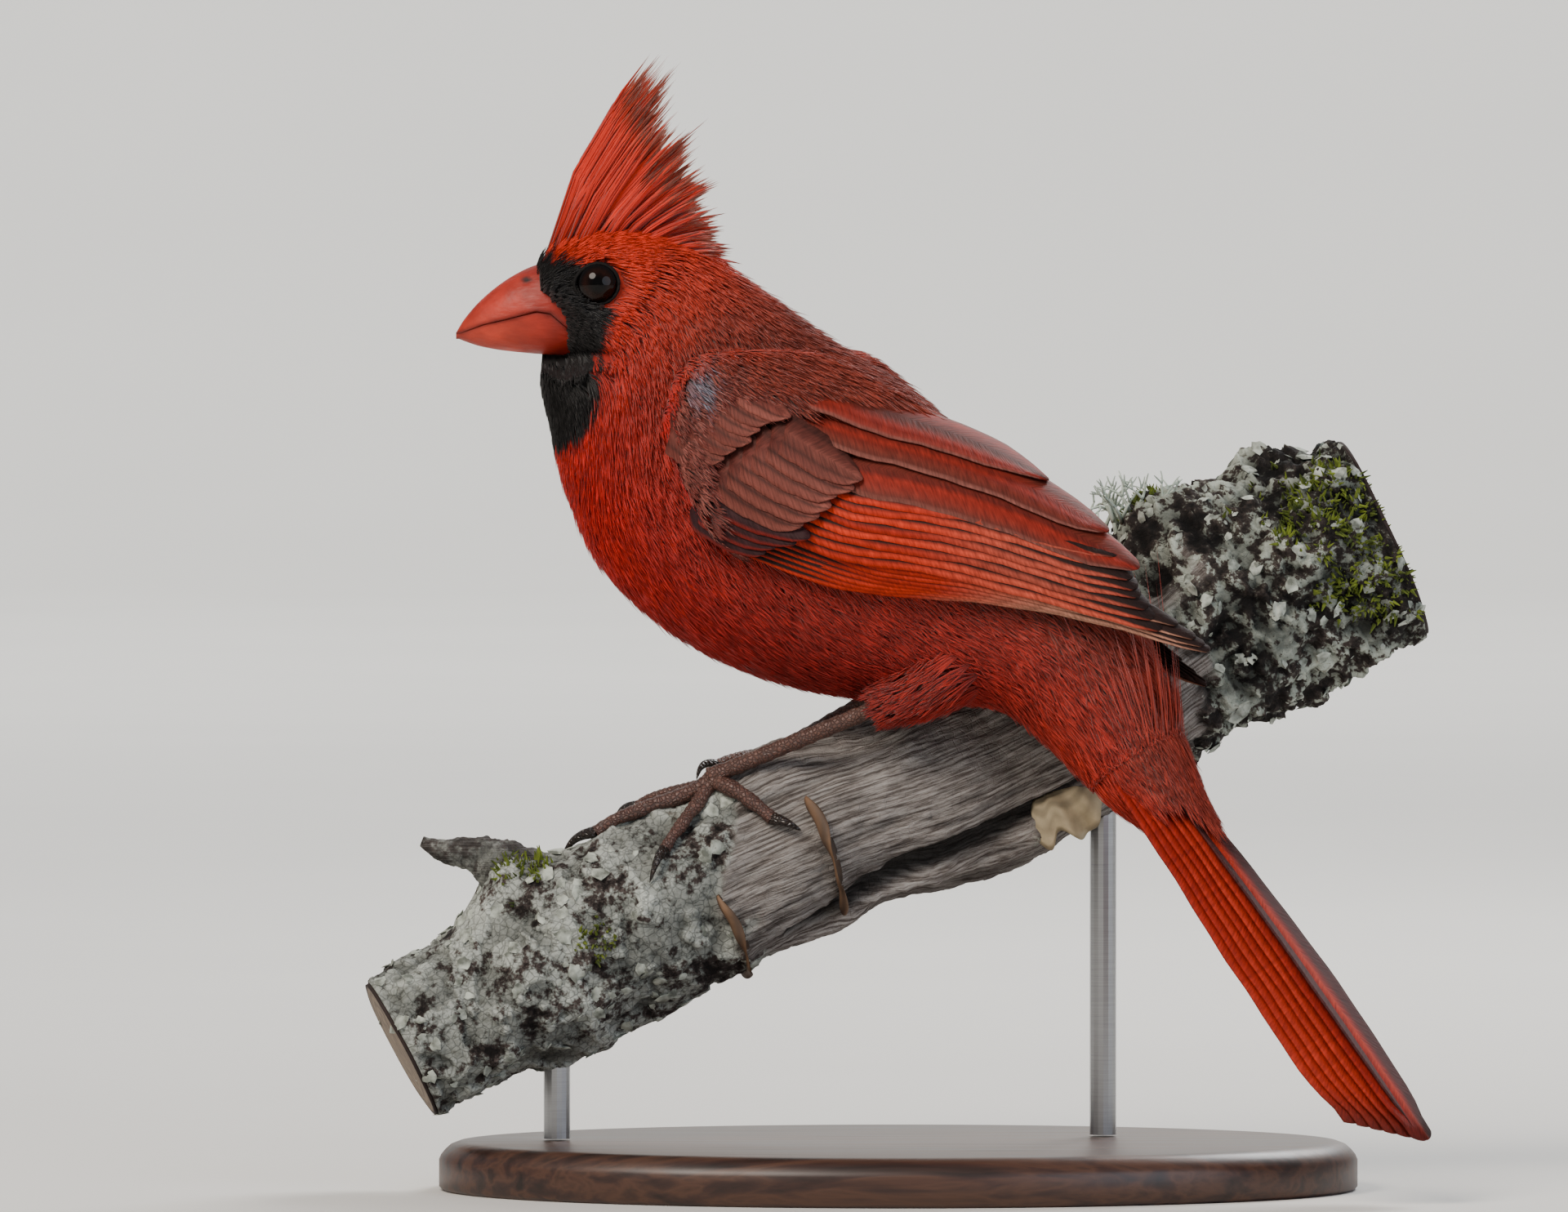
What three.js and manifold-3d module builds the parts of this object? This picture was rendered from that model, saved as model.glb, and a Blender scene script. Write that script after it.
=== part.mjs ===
// A male northern cardinal at life size, crest raised, gripping a short cut length of
// weathered branch that two rods hold over a flat oval base.
// Millimetres, +Z up. The head faces -X, and the viewer of the left side stands at -Y.
// The origin is the middle of the base's underside.
import * as THREE from "three";
import { mergeVertices } from "three/addons/utils/BufferGeometryUtils.js";
import Module from "manifold-3d";

const wasm = await Module();
wasm.setup();

// Driving dimensions
const GAP = 0.3; // between neighbouring pieces
const VANE = 0.6; // thickness of a feather's vane
const BODY_TURN = 25; // degrees that the body is turned from the head's plane, tail towards the viewer
const NECK = { x: -33.75, y: 15 }; // upright axis that the body turns about
const TURN_FROM = 3.5; // stations between which the turn comes in
const TURN_TO = 6.5;
const NECK_FRONT = 3.7; // stations where head, neck, torso and tail coverts part
const NECK_BACK = 5.25;
const TORSO_BACK = 10.2;
const RING_SIDES = 24;

// Stations from the bill's root to the end of the tail coverts, in the bird's middle plane:
// back x, back z, belly x, belly z and the half width.
const BODY = [
  [-61.0, 151.5, -56.4, 137.6, 5.5],
  [-58.3, 156.0, -58.2, 133.6, 9.3],
  [-52.0, 158.6, -58.4, 129.8, 11.6],
  [-43.9, 159.3, -57.8, 125.6, 12.7],
  [-33.8, 156.8, -56.8, 120.0, 14.4],
  [-23.4, 149.6, -54.6, 112.5, 17.3],
  [-10.3, 141.0, -49.4, 101.9, 20.3],
  [4.5, 132.4, -36.0, 90.8, 22.0],
  [18.5, 121.2, -16.8, 83.2, 21.2],
  [31.5, 109.6, 3.4, 80.4, 17.8],
  [43.5, 98.0, 21.6, 79.6, 13.8],
  [50.2, 87.0, 30.6, 74.0, 10.8],
  [54.0, 76.4, 39.0, 66.6, 8.4],
];

// Small helpers
const rad = THREE.MathUtils.degToRad;
const lerp = THREE.MathUtils.lerp;
const smooth = (t) => THREE.MathUtils.smoothstep(t, 0, 1);
const V = (x, y, z) => new THREE.Vector3(x, y, z);
const count = (n, make) => Array.from({ length: n }, (_, i) => make(i));
const steps = (n, make) => count(n, (i) => make(i / (n - 1), i));

// A repeatable draw between -1 and 1 for item n.
function draw(n) {
  const wave = Math.sin(n * 127.1 + 11.7) * 43758.5453;
  return 2 * (wave - Math.floor(wave)) - 1;
}

// The row of a table at fractional index s, on a curve through its rows.
function along(table, s) {
  const i = THREE.MathUtils.clamp(Math.floor(s), 0, table.length - 2);
  const t = s - i;
  const row = (k) => table[THREE.MathUtils.clamp(i + k, 0, table.length - 1)];
  return row(0).map((p1, j) => {
    const p0 = row(-1)[j];
    const p2 = row(1)[j];
    const p3 = row(2)[j];
    const bend = 2 * p0 - 5 * p1 + 4 * p2 - p3;
    const twist = 3 * p1 - p0 - 3 * p2 + p3;
    return 0.5 * (2 * p1 + (p2 - p0) * t + bend * t * t + twist * t ** 3);
  });
}

// Closed surfaces
function closed(points, triangles) {
  const geometry = new THREE.BufferGeometry();
  geometry.setAttribute(
    "position",
    new THREE.Float32BufferAttribute(
      points.flatMap((p) => [p.x, p.y, p.z]),
      3,
    ),
  );
  const volume = triangles.reduce(
    (sum, [a, b, c]) =>
      sum + points[a].dot(V(0, 0, 0).crossVectors(points[b], points[c])),
    0,
  );
  const outward = volume < 0 ? ([a, b, c]) => [a, c, b] : (t) => t;
  geometry.setIndex(triangles.flatMap(outward));
  return geometry;
}

// Rings of equal count joined in a row, the ends closed with fans.
function loft(rings) {
  const n = rings[0].length;
  const points = rings.flat();
  const triangles = [];
  for (let k = 0; k < rings.length - 1; k++)
    for (let j = 0; j < n; j++) {
      const a = k * n + j;
      const b = k * n + ((j + 1) % n);
      triangles.push([a, b, b + n], [a, b + n, a + n]);
    }
  for (const [k, turned] of [
    [0, true],
    [rings.length - 1, false],
  ]) {
    const middle = points.length;
    points.push(
      rings[k].reduce((sum, p) => sum.add(p), V(0, 0, 0)).divideScalar(n),
    );
    for (let j = 0; j < n; j++) {
      const edge = [k * n + j, k * n + ((j + 1) % n)];
      triangles.push(turned ? [middle, edge[1], edge[0]] : [middle, ...edge]);
    }
  }
  return closed(points, triangles);
}

// A thin closed sheet from two grids of points, both faces split alike.
function sheet(top, bottom) {
  const rows = top.length;
  const columns = top[0].length;
  const under = rows * columns;
  const points = [...top.flat(), ...bottom.flat()];
  const triangles = [];
  const at = (i, j) => i * columns + j;
  for (let i = 0; i < rows - 1; i++)
    for (let j = 0; j < columns - 1; j++) {
      const [a, b, c, d] = [
        at(i, j),
        at(i, j + 1),
        at(i + 1, j + 1),
        at(i + 1, j),
      ];
      triangles.push([a, b, c], [a, c, d]);
      triangles.push([under + c, under + b, under + a]);
      triangles.push([under + d, under + c, under + a]);
    }
  const rim = [
    ...count(columns - 1, (j) => at(0, j)),
    ...count(rows - 1, (i) => at(i, columns - 1)),
    ...count(columns - 1, (j) => at(rows - 1, columns - 1 - j)),
    ...count(rows - 1, (i) => at(rows - 1 - i, 0)),
  ];
  rim.forEach((a, k) => {
    const b = rim[(k + 1) % rim.length];
    triangles.push([b, a, under + a], [b, under + a, under + b]);
  });
  return closed(points, triangles);
}

// A round tube through centres with a radius at each, the ring upright to the path.
function tube(centres, radii, sides = 8) {
  return loft(
    centres.map((c, i) => {
      const before = centres[Math.max(i - 1, 0)];
      const after = centres[Math.min(i + 1, centres.length - 1)];
      const ahead = after.clone().sub(before).normalize();
      const side = V(0, 0, 1).cross(ahead);
      if (side.length() < 0.1) side.set(1, 0, 0);
      side.normalize();
      const up = ahead.clone().cross(side);
      return count(sides, (j) => {
        const angle = (2 * Math.PI * j) / sides;
        return c
          .clone()
          .addScaledVector(side, radii[i] * Math.cos(angle))
          .addScaledVector(up, radii[i] * Math.sin(angle));
      });
    }),
  );
}

// Solids
function solid(geometry) {
  const bare = geometry.clone();
  bare.deleteAttribute("normal");
  bare.deleteAttribute("uv");
  const merged = mergeVertices(bare, 1e-4);
  return new wasm.Manifold(
    new wasm.Mesh({
      numProp: 3,
      vertProperties: merged.attributes.position.array,
      triVerts: new Uint32Array(merged.index.array),
    }),
  );
}
const fuse = (list) => list.map(solid).reduce((a, b) => a.add(b));
const largest = (body) =>
  body.decompose().reduce((a, b) => (b.volume() > a.volume() ? b : a));

function piece(name, body, look) {
  const whole = largest(body);
  const made = whole.getMesh();
  const geometry = new THREE.BufferGeometry();
  geometry.setAttribute(
    "position",
    new THREE.BufferAttribute(new Float32Array(made.vertProperties), 3),
  );
  geometry.setIndex(new THREE.BufferAttribute(made.triVerts, 1));
  geometry.computeVertexNormals();
  const mesh = new THREE.Mesh(geometry, look);
  mesh.name = name;
  return mesh;
}

const look = (color, roughness, metalness = 0) =>
  new THREE.MeshStandardMaterial({ color, roughness, metalness });
const LOOKS = {
  red: look("#a81c12", 0.8),
  mantle: look("#6f2418", 0.8),
  wing: look("#7d2a1e", 0.65),
  tail: look("#8f2219", 0.65),
  bill: look("#c8371f", 0.35),
  eye: look("#0c0806", 0.05),
  leg: look("#5b4038", 0.6),
  bark: look("#7c7a76", 0.9),
  base: look("#2b2320", 0.4),
  rod: look("#9a9a98", 0.3, 1),
};

// The turn about the neck's upright axis, from the bird's straight plane to the pose.
function turned(p, degrees) {
  const c = Math.cos(rad(degrees));
  const s = Math.sin(rad(degrees));
  const dx = p.x - NECK.x;
  return V(NECK.x + dx * c + p.y * s, NECK.y - dx * s + p.y * c, p.z);
}
const onHead = (p) => turned(p, 0);
const onBody = (p) => turned(p, BODY_TURN);
const turnAt = (s) =>
  BODY_TURN * smooth((s - TURN_FROM) / (TURN_TO - TURN_FROM));

// Body of flesh and plumage, one loft that is parted at set stations.
function bodyRing(s, grow) {
  const [backX, backZ, bellyX, bellyZ, half] = along(BODY, s);
  const middle = V((backX + bellyX) / 2, 0, (backZ + bellyZ) / 2);
  const up = V(backX, 0, backZ).sub(middle);
  const depth = up.length() + grow;
  up.normalize();
  return count(RING_SIDES, (j) => {
    const angle = (2 * Math.PI * j) / RING_SIDES;
    const p = middle
      .clone()
      .addScaledVector(up, depth * Math.cos(angle))
      .add(V(0, (half + grow) * Math.sin(angle), 0));
    return turned(p, turnAt(s));
  });
}
function bodyPart(from, to, rings, grow = 0) {
  return loft(steps(rings, (t) => bodyRing(lerp(from, to, t), grow)));
}
const PART_STEP = 0.02; // half the thickness of a parting cut, in stations

// Bill: a short deep cone, cut along the line of the mouth.
// x, culmen z, lower edge z and half width, from the tip back into the head.
const BILL = [
  [-73.4, 141.5, 140.7, 0.5],
  [-72.0, 143.8, 140.1, 1.7],
  [-69.6, 146.6, 139.3, 3.1],
  [-66.6, 149.2, 138.7, 4.4],
  [-63.4, 151.3, 138.3, 5.4],
  [-60.0, 152.8, 138.0, 6.1],
  [-56.0, 153.4, 137.8, 6.3],
  [-53.0, 152.8, 138.0, 5.8],
];
// The line of the mouth from beyond the tip to inside the head: x, z.
const MOUTH = [
  [-80, 141.4],
  [-72.6, 141.6],
  [-68.8, 143.0],
  [-64.5, 144.0],
  [-60.0, 145.2],
  [-57.6, 144.8],
  [-54.8, 142.4],
  [-50, 141.4],
];
const BILL_SIDES = 16;
function billWhole(grow = 0) {
  return loft(
    BILL.map(([x, top, low, half]) =>
      count(BILL_SIDES, (j) => {
        const angle = (2 * Math.PI * j) / BILL_SIDES;
        const depth = (top - low) / 2 + grow;
        const z = (top + low) / 2 + depth * Math.cos(angle);
        return onHead(V(x, (half + grow) * Math.sin(angle), z));
      }),
    ),
  );
}
// Everything above the mouth's line raised by lift.
function aboveMouth(lift) {
  const outline = new THREE.Shape();
  MOUTH.forEach(([x, z], i) =>
    i ? outline.lineTo(x, z + lift) : outline.moveTo(x, z + lift),
  );
  outline.lineTo(-50, 170);
  outline.lineTo(-80, 170);
  const deep = 40;
  return new THREE.ExtrudeGeometry(outline, { depth: deep, bevelEnabled: false })
    .rotateX(Math.PI / 2)
    .translate(0, NECK.y + deep / 2, 0);
}
const NOSTRIL = { x: -62.2, z: 150.2, y: 4.6, long: 1.0, high: 0.6 };
function nostril(side) {
  const at = onHead(V(NOSTRIL.x, side * NOSTRIL.y, NOSTRIL.z));
  return new THREE.SphereGeometry(1, 10, 6)
    .scale(NOSTRIL.long, 1.2, NOSTRIL.high)
    .rotateY(rad(35))
    .translate(at.x, at.y, at.z);
}

// Eyes, set in sockets with a lid around each.
const EYE = { x: -49.8, y: 8.9, z: 149.4, r: 3.7 };
const LID = { ring: 3.35, thick: 0.55, y: 11.0 };
function eyeBall(side, grow = 0) {
  const at = onHead(V(EYE.x, side * EYE.y, EYE.z));
  return new THREE.SphereGeometry(EYE.r + grow, 14, 8)
    .rotateX(Math.PI / 2)
    .translate(at.x, at.y, at.z);
}
function lid(side) {
  const at = onHead(V(EYE.x, side * LID.y, EYE.z));
  return new THREE.TorusGeometry(LID.ring, LID.thick, 5, 14)
    .rotateX(Math.PI / 2)
    .rotateZ(side * rad(6))
    .rotateX(-side * rad(6))
    .translate(at.x, at.y, at.z);
}

// Chin feathers that swell forward below the bill.
function chin() {
  const at = onHead(V(-55.4, 0, 133.4));
  return new THREE.SphereGeometry(1, 10, 6)
    .scale(5.0, 5.4, 5.2)
    .translate(at.x, at.y, at.z);
}

// The crest stands on a cap that is parted from the skull by a level cut.
const CROWN_CUT = 154.4;
function aboveCrown(lift) {
  const high = 60;
  const at = onHead(V(-44, 0, CROWN_CUT + lift + high / 2));
  return new THREE.BoxGeometry(60, 60, high).translate(at.x, at.y, at.z);
}
const CREST = { rows: 9, columns: 3, front: -57.0, back: -39.0 };
const CREST_LENGTH = [33.5, 29, 26.5, 24, 20, 16.5, 12.5, 11, 10]; // per row, root to tip
const CREST_RISE = [64.5, 63, 60.5, 57, 52, 45, 38, 22, 6]; // degrees above level
const CREST_VANE = 2.7; // half width at the broadest
function crestFeather(row, column) {
  const n = row * CREST.columns + column;
  const side = column - (CREST.columns - 1) / 2;
  const share = row / (CREST.rows - 1);
  const edge = Math.abs(side);
  const length =
    CREST_LENGTH[row] * (1 - 0.16 * edge) * (1 + 0.05 * draw(n));
  const rise = rad(CREST_RISE[row] + 3 * draw(n + 50) - 2 * edge);
  const root = V(
    lerp(CREST.front, CREST.back, share) + 0.9 * side,
    side * 3.1,
    155.4 + 1.4 * Math.sin(Math.PI * share) - 0.5 * edge,
  );
  const ahead = V(Math.cos(rise), -0.1 * side, Math.sin(rise)).normalize();
  const across = V(-Math.sin(rise), 0.25 * draw(n + 90), Math.cos(rise));
  across.normalize();
  const flat = ahead.clone().cross(across).normalize();
  const bend = 0.03 * length * (1 + draw(n + 20));
  const face = (out) =>
    steps(4, (t) => {
      const half =
        CREST_VANE * (0.35 + 1.5 * t * (1 - t) + 0.35 * (1 - t)) * (1 - t ** 6);
      const middle = root
        .clone()
        .addScaledVector(ahead, length * t)
        .addScaledVector(across, -bend * t * t);
      return [-1, 1].map((edgeSide) =>
        middle
          .clone()
          .addScaledVector(across, edgeSide * Math.max(half, 0.15))
          .addScaledVector(flat, (out * VANE * lerp(1, 0.4, t)) / 2),
      );
    }).map((row2) => row2.map(onHead));
  return sheet(face(1), face(-1));
}

// Wings. The folded wing lies on a shell around the back: rows every 20 mm of x hold
// the middle height, half height and half width of its upright section.
const SHELL_FROM = -35;
const SHELL_STEP = 20;
const FAR_DROOP = { by: 6, from: -14, over: 34 }; // the far wing hangs lower, hidden by the back
const SHELL = [
  [121, 32, 19.5],
  [112, 29.5, 23.6],
  [106, 24.8, 23.4],
  [100.5, 21, 19.0],
  [92.5, 15.5, 10.6],
  [83.5, 11.5, 4.6],
];
function onShell(side, x, degrees, lift) {
  const [z, high, wide] = along(SHELL, (x - SHELL_FROM) / SHELL_STEP);
  const far = side > 0 ? FAR_DROOP.by : 0;
  const low = z - far * smooth((x - FAR_DROOP.from) / FAR_DROOP.over);
  const c = Math.cos(rad(degrees));
  const s = Math.sin(rad(degrees));
  const out = V(0, c / wide, s / high).normalize();
  return onBody(
    V(x, side * (wide * c + lift * out.y), low + high * s + lift * out.z),
  );
}
const shellRadius = (x, degrees) => {
  const [, high, wide] = along(SHELL, (x - SHELL_FROM) / SHELL_STEP);
  return Math.hypot(wide * Math.sin(rad(degrees)), high * Math.cos(rad(degrees)));
};
// Outline of a feather's half width along its length, rounded at the tip.
const vaneWidth = (t, point) =>
  (0.45 + 0.55 * smooth(t / 0.35)) * Math.sqrt(1 - Math.min(t, 0.985) ** point);

// One feather laid on the shell from root to tip; low edge raised, high edge tucked under.
function wingFeather(side, f) {
  const rows = f.rows ?? 4;
  const face = (out) =>
    steps(rows, (t) => {
      const x = lerp(f.root[0], f.tip[0], t);
      const middle = lerp(f.root[1], f.tip[1], t ** (f.curve ?? 1));
      const half = (f.wide / 2) * vaneWidth(t, f.point ?? 4);
      const spread = THREE.MathUtils.radToDeg(half / shellRadius(x, middle));
      const rise = lerp(f.lift[0], f.lift[1], smooth(t / 0.3));
      return [-1, 1].map((edge) =>
        onShell(
          side,
          x,
          middle + edge * spread,
          rise - (edge * f.tilt) / 2 + (out * VANE) / 2,
        ),
      );
    });
  return sheet(face(1), face(-1));
}

// Flight feathers and coverts, each tier from its lowest feather up.
const PRIMARY_TIPS = [57, 61.5, 63.5, 62, 58.5, 55];
const primaries = PRIMARY_TIPS.map((x, i) => ({
  root: [-9 + i, -9 + 2.6 * i],
  tip: [x, 21 + 2.7 * i],
  wide: 6.6,
  lift: [-0.6, 0.1 + 0.24 * i],
  tilt: 1.3,
  curve: 1.9,
  point: 3,
}));
const secondaries = count(6, (i) => ({
  root: [-7 + 1.2 * i, 6 + 3.6 * i],
  tip: [50.5 - i, 28 + 5 * i],
  wide: 8.8,
  lift: [-0.4, 1.5 + 0.12 * i],
  tilt: 1.6,
  curve: 1.5,
  point: 5,
}));
const TERTIALS = [
  { root: [-4, 32], tip: [50, 58] },
  { root: [-8, 43], tip: [43, 66] },
  { root: [-12, 53], tip: [31, 71] },
];
const tertials = TERTIALS.map((f, i) => ({
  ...f,
  wide: 10.5,
  lift: [-0.4, 2.3 + 0.3 * i],
  tilt: 1.4,
  curve: 1.4,
}));
const greaterCoverts = count(7, (i) => ({
  root: [-21 + 1.9 * i, 12.5 + 3.5 * i],
  tip: [-2.6 + 1.6 * i, 6 + 3.5 * i],
  wide: 6.4,
  rows: 3,
  lift: [-0.3, 3.0],
  tilt: 1.0,
}));
const primaryCoverts = count(3, (i) => ({
  root: [-24 + i, -8 + 2.4 * i],
  tip: [-9 + 3 * i, -9.5 + 3.4 * i],
  wide: 4.6,
  rows: 3,
  lift: [-0.3, 2.1 + 0.3 * i],
  tilt: 0.9,
}));
const medianCoverts = count(7, (i) => ({
  root: [-29.5 + 1.8 * i, 14 + 4.6 * i],
  tip: [-17 + 2 * i, 10.5 + 4.2 * i],
  wide: 6.0,
  rows: 3,
  lift: [0.2, 3.7],
  tilt: 0.9,
}));
const WING_FEATHERS = [
  ...primaries,
  ...secondaries,
  ...tertials,
  ...primaryCoverts,
  ...greaterCoverts,
  ...medianCoverts,
];

// The arm below the coverts: a lens of plumage between the shell and the torso.
const ARM = { from: -33, to: 17, low: -9, high: 66, thick: 2.3, sink: 5.5 };
function arm(side) {
  const swell = (t) => Math.sqrt(Math.max(0, 1 - (2 * t - 1) ** 4));
  const face = (outer) =>
    steps(7, (t) =>
      steps(6, (u) => {
        const x = lerp(ARM.from, ARM.to, t);
        const low = ARM.low + 9 * (1 - swell(t));
        const angle = lerp(low, ARM.high, u);
        const full = Math.min(swell(t), swell(u) ** 0.7);
        const lift = outer
          ? lerp(-1.6, ARM.thick * lerp(1, 0.35, t), full)
          : -ARM.sink;
        return onShell(side, x, angle, lift);
      }),
    );
  return sheet(face(true), face(false));
}

// Tail: six feathers each side, the middle pair on top, folded into a low roof.
const TAIL = { root: V(36.5, 0, 86.5), fall: 50.6, length: 98, wide: 11.5 };
function tailFeather(side, i) {
  const slope = rad(TAIL.fall);
  const ahead = V(Math.cos(slope), 0, -Math.sin(slope));
  const up = V(Math.sin(slope), 0, Math.cos(slope));
  const length = TAIL.length - 1.6 * i - (side > 0 ? 0.8 : 0);
  const drop = 0.95 * i + (side > 0 ? 0.45 : 0);
  const roll = rad(8 + 3.5 * i);
  const face = (out) =>
    steps(5, (t) => {
      const half = (TAIL.wide / 2) * (0.45 + 0.55 * smooth(t / 0.7));
      const wide = half * Math.sqrt(1 - Math.min(t, 0.975) ** 14);
      const middle = TAIL.root
        .clone()
        .addScaledVector(ahead, length * t)
        .addScaledVector(up, -drop * (0.7 + 0.3 * t) + 1.4 * Math.sin(Math.PI * t))
        .add(V(0, side * (0.8 + 1.25 * i) * (0.55 + 0.45 * t), 0));
      return [-1, 0, 1].map((edge) =>
        onBody(
          middle
            .clone()
            .add(V(0, side * edge * wide * Math.cos(roll), 0))
            .addScaledVector(
              up,
              -edge * wide * Math.sin(roll) - 0.25 * Math.abs(edge),
            )
            .addScaledVector(up, (out * VANE * 1.1) / 2),
        ),
      );
    });
  return sheet(face(1), face(-1));
}

// Perch: a weathered branch along a gentle curve, x, y, z and radius.
const PERCH = [
  [-82, -2, 23.5, 12.0],
  [-68, 0, 31.0, 13.6],
  [-54, 1.5, 38.5, 15.4],
  [-33, 4, 50.0, 15.4],
  [-13, 6.5, 58.8, 15.2],
  [7, 9, 65.5, 14.8],
  [27, 11.5, 75.0, 15.4],
  [47, 13.5, 90.2, 18.2],
  [64, 15.5, 100.2, 18.8],
  [80, 17, 107.6, 18.0],
];
const PERCH_LAST = PERCH.length - 1;
// Centre, radius and the two directions across the branch at station u: up and towards the viewer.
function perchFrame(u) {
  const [x, y, z, radius] = along(PERCH, u);
  const ahead = along(PERCH, Math.min(u + 0.05, PERCH_LAST));
  const behind = along(PERCH, Math.max(u - 0.05, 0));
  const run = V(
    ahead[0] - behind[0],
    ahead[1] - behind[1],
    ahead[2] - behind[2],
  ).normalize();
  const near = V(0, 0, -1).cross(run).normalize().negate();
  near.multiplyScalar(near.y > 0 ? -1 : 1);
  const up = run.clone().cross(near).normalize();
  up.multiplyScalar(up.z < 0 ? -1 : 1);
  return { middle: V(x, y, z), radius, up, near, run };
}
const barkSwell = (u, angle) =>
  1 +
  0.035 * Math.sin(3 * angle + 2.1 * u) +
  0.03 * Math.sin(2 * angle - 3.3 * u + 1) +
  0.025 * Math.sin(5 * angle + 4.7 * u) +
  0.03 * Math.sin(5.3 * u);
function onPerch(u, degrees, lift = 0) {
  const { middle, radius, up, near } = perchFrame(u);
  const angle = rad(degrees);
  const reach = radius * barkSwell(u, angle) + lift;
  return middle
    .addScaledVector(up, reach * Math.cos(angle))
    .addScaledVector(near, reach * Math.sin(angle));
}
function perchWhole(rings, sides, grow = 0) {
  return loft(
    steps(rings, (t) =>
      count(sides, (j) => onPerch(t * PERCH_LAST, (360 * j) / sides, grow)),
    ),
  );
}
const PERCH_RINGS = 25;
const PERCH_SIDES = 18;
// The snapped twig near the lower end, and the burl it grows from.
function twig() {
  const path = [
    V(-58, 1, 48),
    V(-66, 0, 53.5),
    V(-70.5, -0.5, 55.6),
    V(-74.5, -0.8, 56),
    V(-78.8, -1, 57.6),
  ];
  return tube(path, [7.5, 4.6, 2.7, 2.1, 0.9], 9);
}
function burl(u, degrees, size) {
  const at = onPerch(u, degrees, -0.35 * size);
  return new THREE.IcosahedronGeometry(size, 1)
    .scale(1.35, 1, 0.9)
    .rotateY(-rad(27))
    .translate(at.x, at.y, at.z);
}
// The long split below the bird, where a slab of wood has come away.
function split() {
  const path = steps(6, (t) =>
    onPerch(lerp(3.45, 5.9, t), lerp(140, 118, t), -1.5 + 2.2 * t * (1 - t)),
  );
  return tube(path, [0.5, 2.4, 3.1, 2.9, 2.0, 0.5], 6);
}

// Legs: a scaled shank from a feathered boot, and three toes forward and one back.
const FEET = {
  left: { ankle: V(0.5, -12.2, 81.8), at: [3.38, 22], heading: 1 },
  right: { ankle: V(8.5, 6.0, 88.5), at: [4.0, -36], heading: -1 },
};
const SHANK = 1.35; // radius
const TOE = 1.35; // radius at the root
// Toes in the perch's own stations and degrees: end station, end angle, claw length.
const TOES = [
  { reach: -0.82, swing: -8, claw: 0.34, thick: 1 },
  { reach: -0.52, swing: 34, claw: 0.24, thick: 0.9 },
  { reach: -0.5, swing: -22, claw: 0.24, thick: 0.9 },
  { reach: 0.26, swing: 44, claw: 0.2, thick: 1.05 },
];
function footJoint(foot) {
  return onPerch(foot.at[0], foot.at[1], TOE + 0.9);
}
function toe(foot, { reach, swing, claw, thick }) {
  const bones = 4;
  const grip = Math.sign(swing) * foot.heading;
  const path = steps(bones, (t) =>
    onPerch(
      foot.at[0] + reach * t,
      foot.at[1] + swing * foot.heading * t,
      t === 0 ? TOE + 0.7 : TOE * thick * 0.8,
    ),
  );
  const radii = steps(bones, (t) => TOE * thick * lerp(1.05, 0.75, t));
  const nail = steps(3, (t) =>
    onPerch(
      foot.at[0] + reach + Math.sign(reach) * claw * t * 0.8,
      foot.at[1] + swing * foot.heading + grip * 14 * t,
      TOE * thick * 0.8 + 1.4 * Math.sin(Math.PI * t * 0.9) - 0.7 * t,
    ),
  );
  return [
    tube(path, radii, 6),
    tube(nail, [0.85 * TOE * thick, 0.75, 0.18], 5),
  ];
}
function shank(foot) {
  const foot3 = footJoint(foot);
  const bone = foot.ankle.clone().lerp(foot3, 0.93);
  const boot = foot.ankle.clone().lerp(foot3, -0.35);
  return tube(
    [
      boot,
      foot.ankle.clone().lerp(foot3, -0.1),
      foot.ankle.clone().lerp(foot3, 0.12),
      foot.ankle.clone().lerp(foot3, 0.3),
      foot.ankle.clone().lerp(foot3, 0.75),
      bone,
    ],
    [4.2, 3.4, 1.9, SHANK, SHANK * 0.9, SHANK],
    10,
  );
}

// Stand
const BASE = { long: 152, wide: 98, high: 8, edge: 1.6 };
const ROD = { radius: 2.2, stations: [1.85, 6.35], sink: 6 };
function base() {
  const outline = new THREE.Shape();
  outline.absellipse(
    0,
    0,
    BASE.long / 2 - BASE.edge,
    BASE.wide / 2 - BASE.edge,
    0,
    2 * Math.PI,
  );
  return new THREE.ExtrudeGeometry(outline, {
    depth: BASE.high - 2 * BASE.edge,
    bevelThickness: BASE.edge,
    bevelSize: BASE.edge,
    bevelSegments: 1,
    curveSegments: 24,
  }).translate(0, 0, BASE.edge);
}
function rod(station) {
  const { middle } = perchFrame(station);
  const low = BASE.high + GAP;
  return new THREE.CylinderGeometry(ROD.radius, ROD.radius, middle.z - low, 16)
    .rotateX(Math.PI / 2)
    .translate(middle.x, middle.y, (middle.z + low) / 2);
}

// Assembly
const bird = new THREE.Group();
const stand = new THREE.Group();

const perchRoom = solid(perchWhole(PERCH_RINGS, PERCH_SIDES, GAP));
const billRoom = solid(billWhole(GAP));
const bodyRoom = solid(bodyPart(3.0, 12, 28, GAP));

const neckRoom = solid(bodyPart(NECK_FRONT - PART_STEP, NECK_BACK, 6, GAP));
const skull = fuse([bodyPart(0, NECK_FRONT - PART_STEP, 9), lid(-1), lid(1)])
  .add(solid(chin()).subtract(neckRoom))
  .subtract(billRoom)
  .subtract(solid(eyeBall(-1, GAP)))
  .subtract(solid(eyeBall(1, GAP)));
bird.add(piece("head", skull.subtract(solid(aboveCrown(-GAP))), LOOKS.red));

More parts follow.
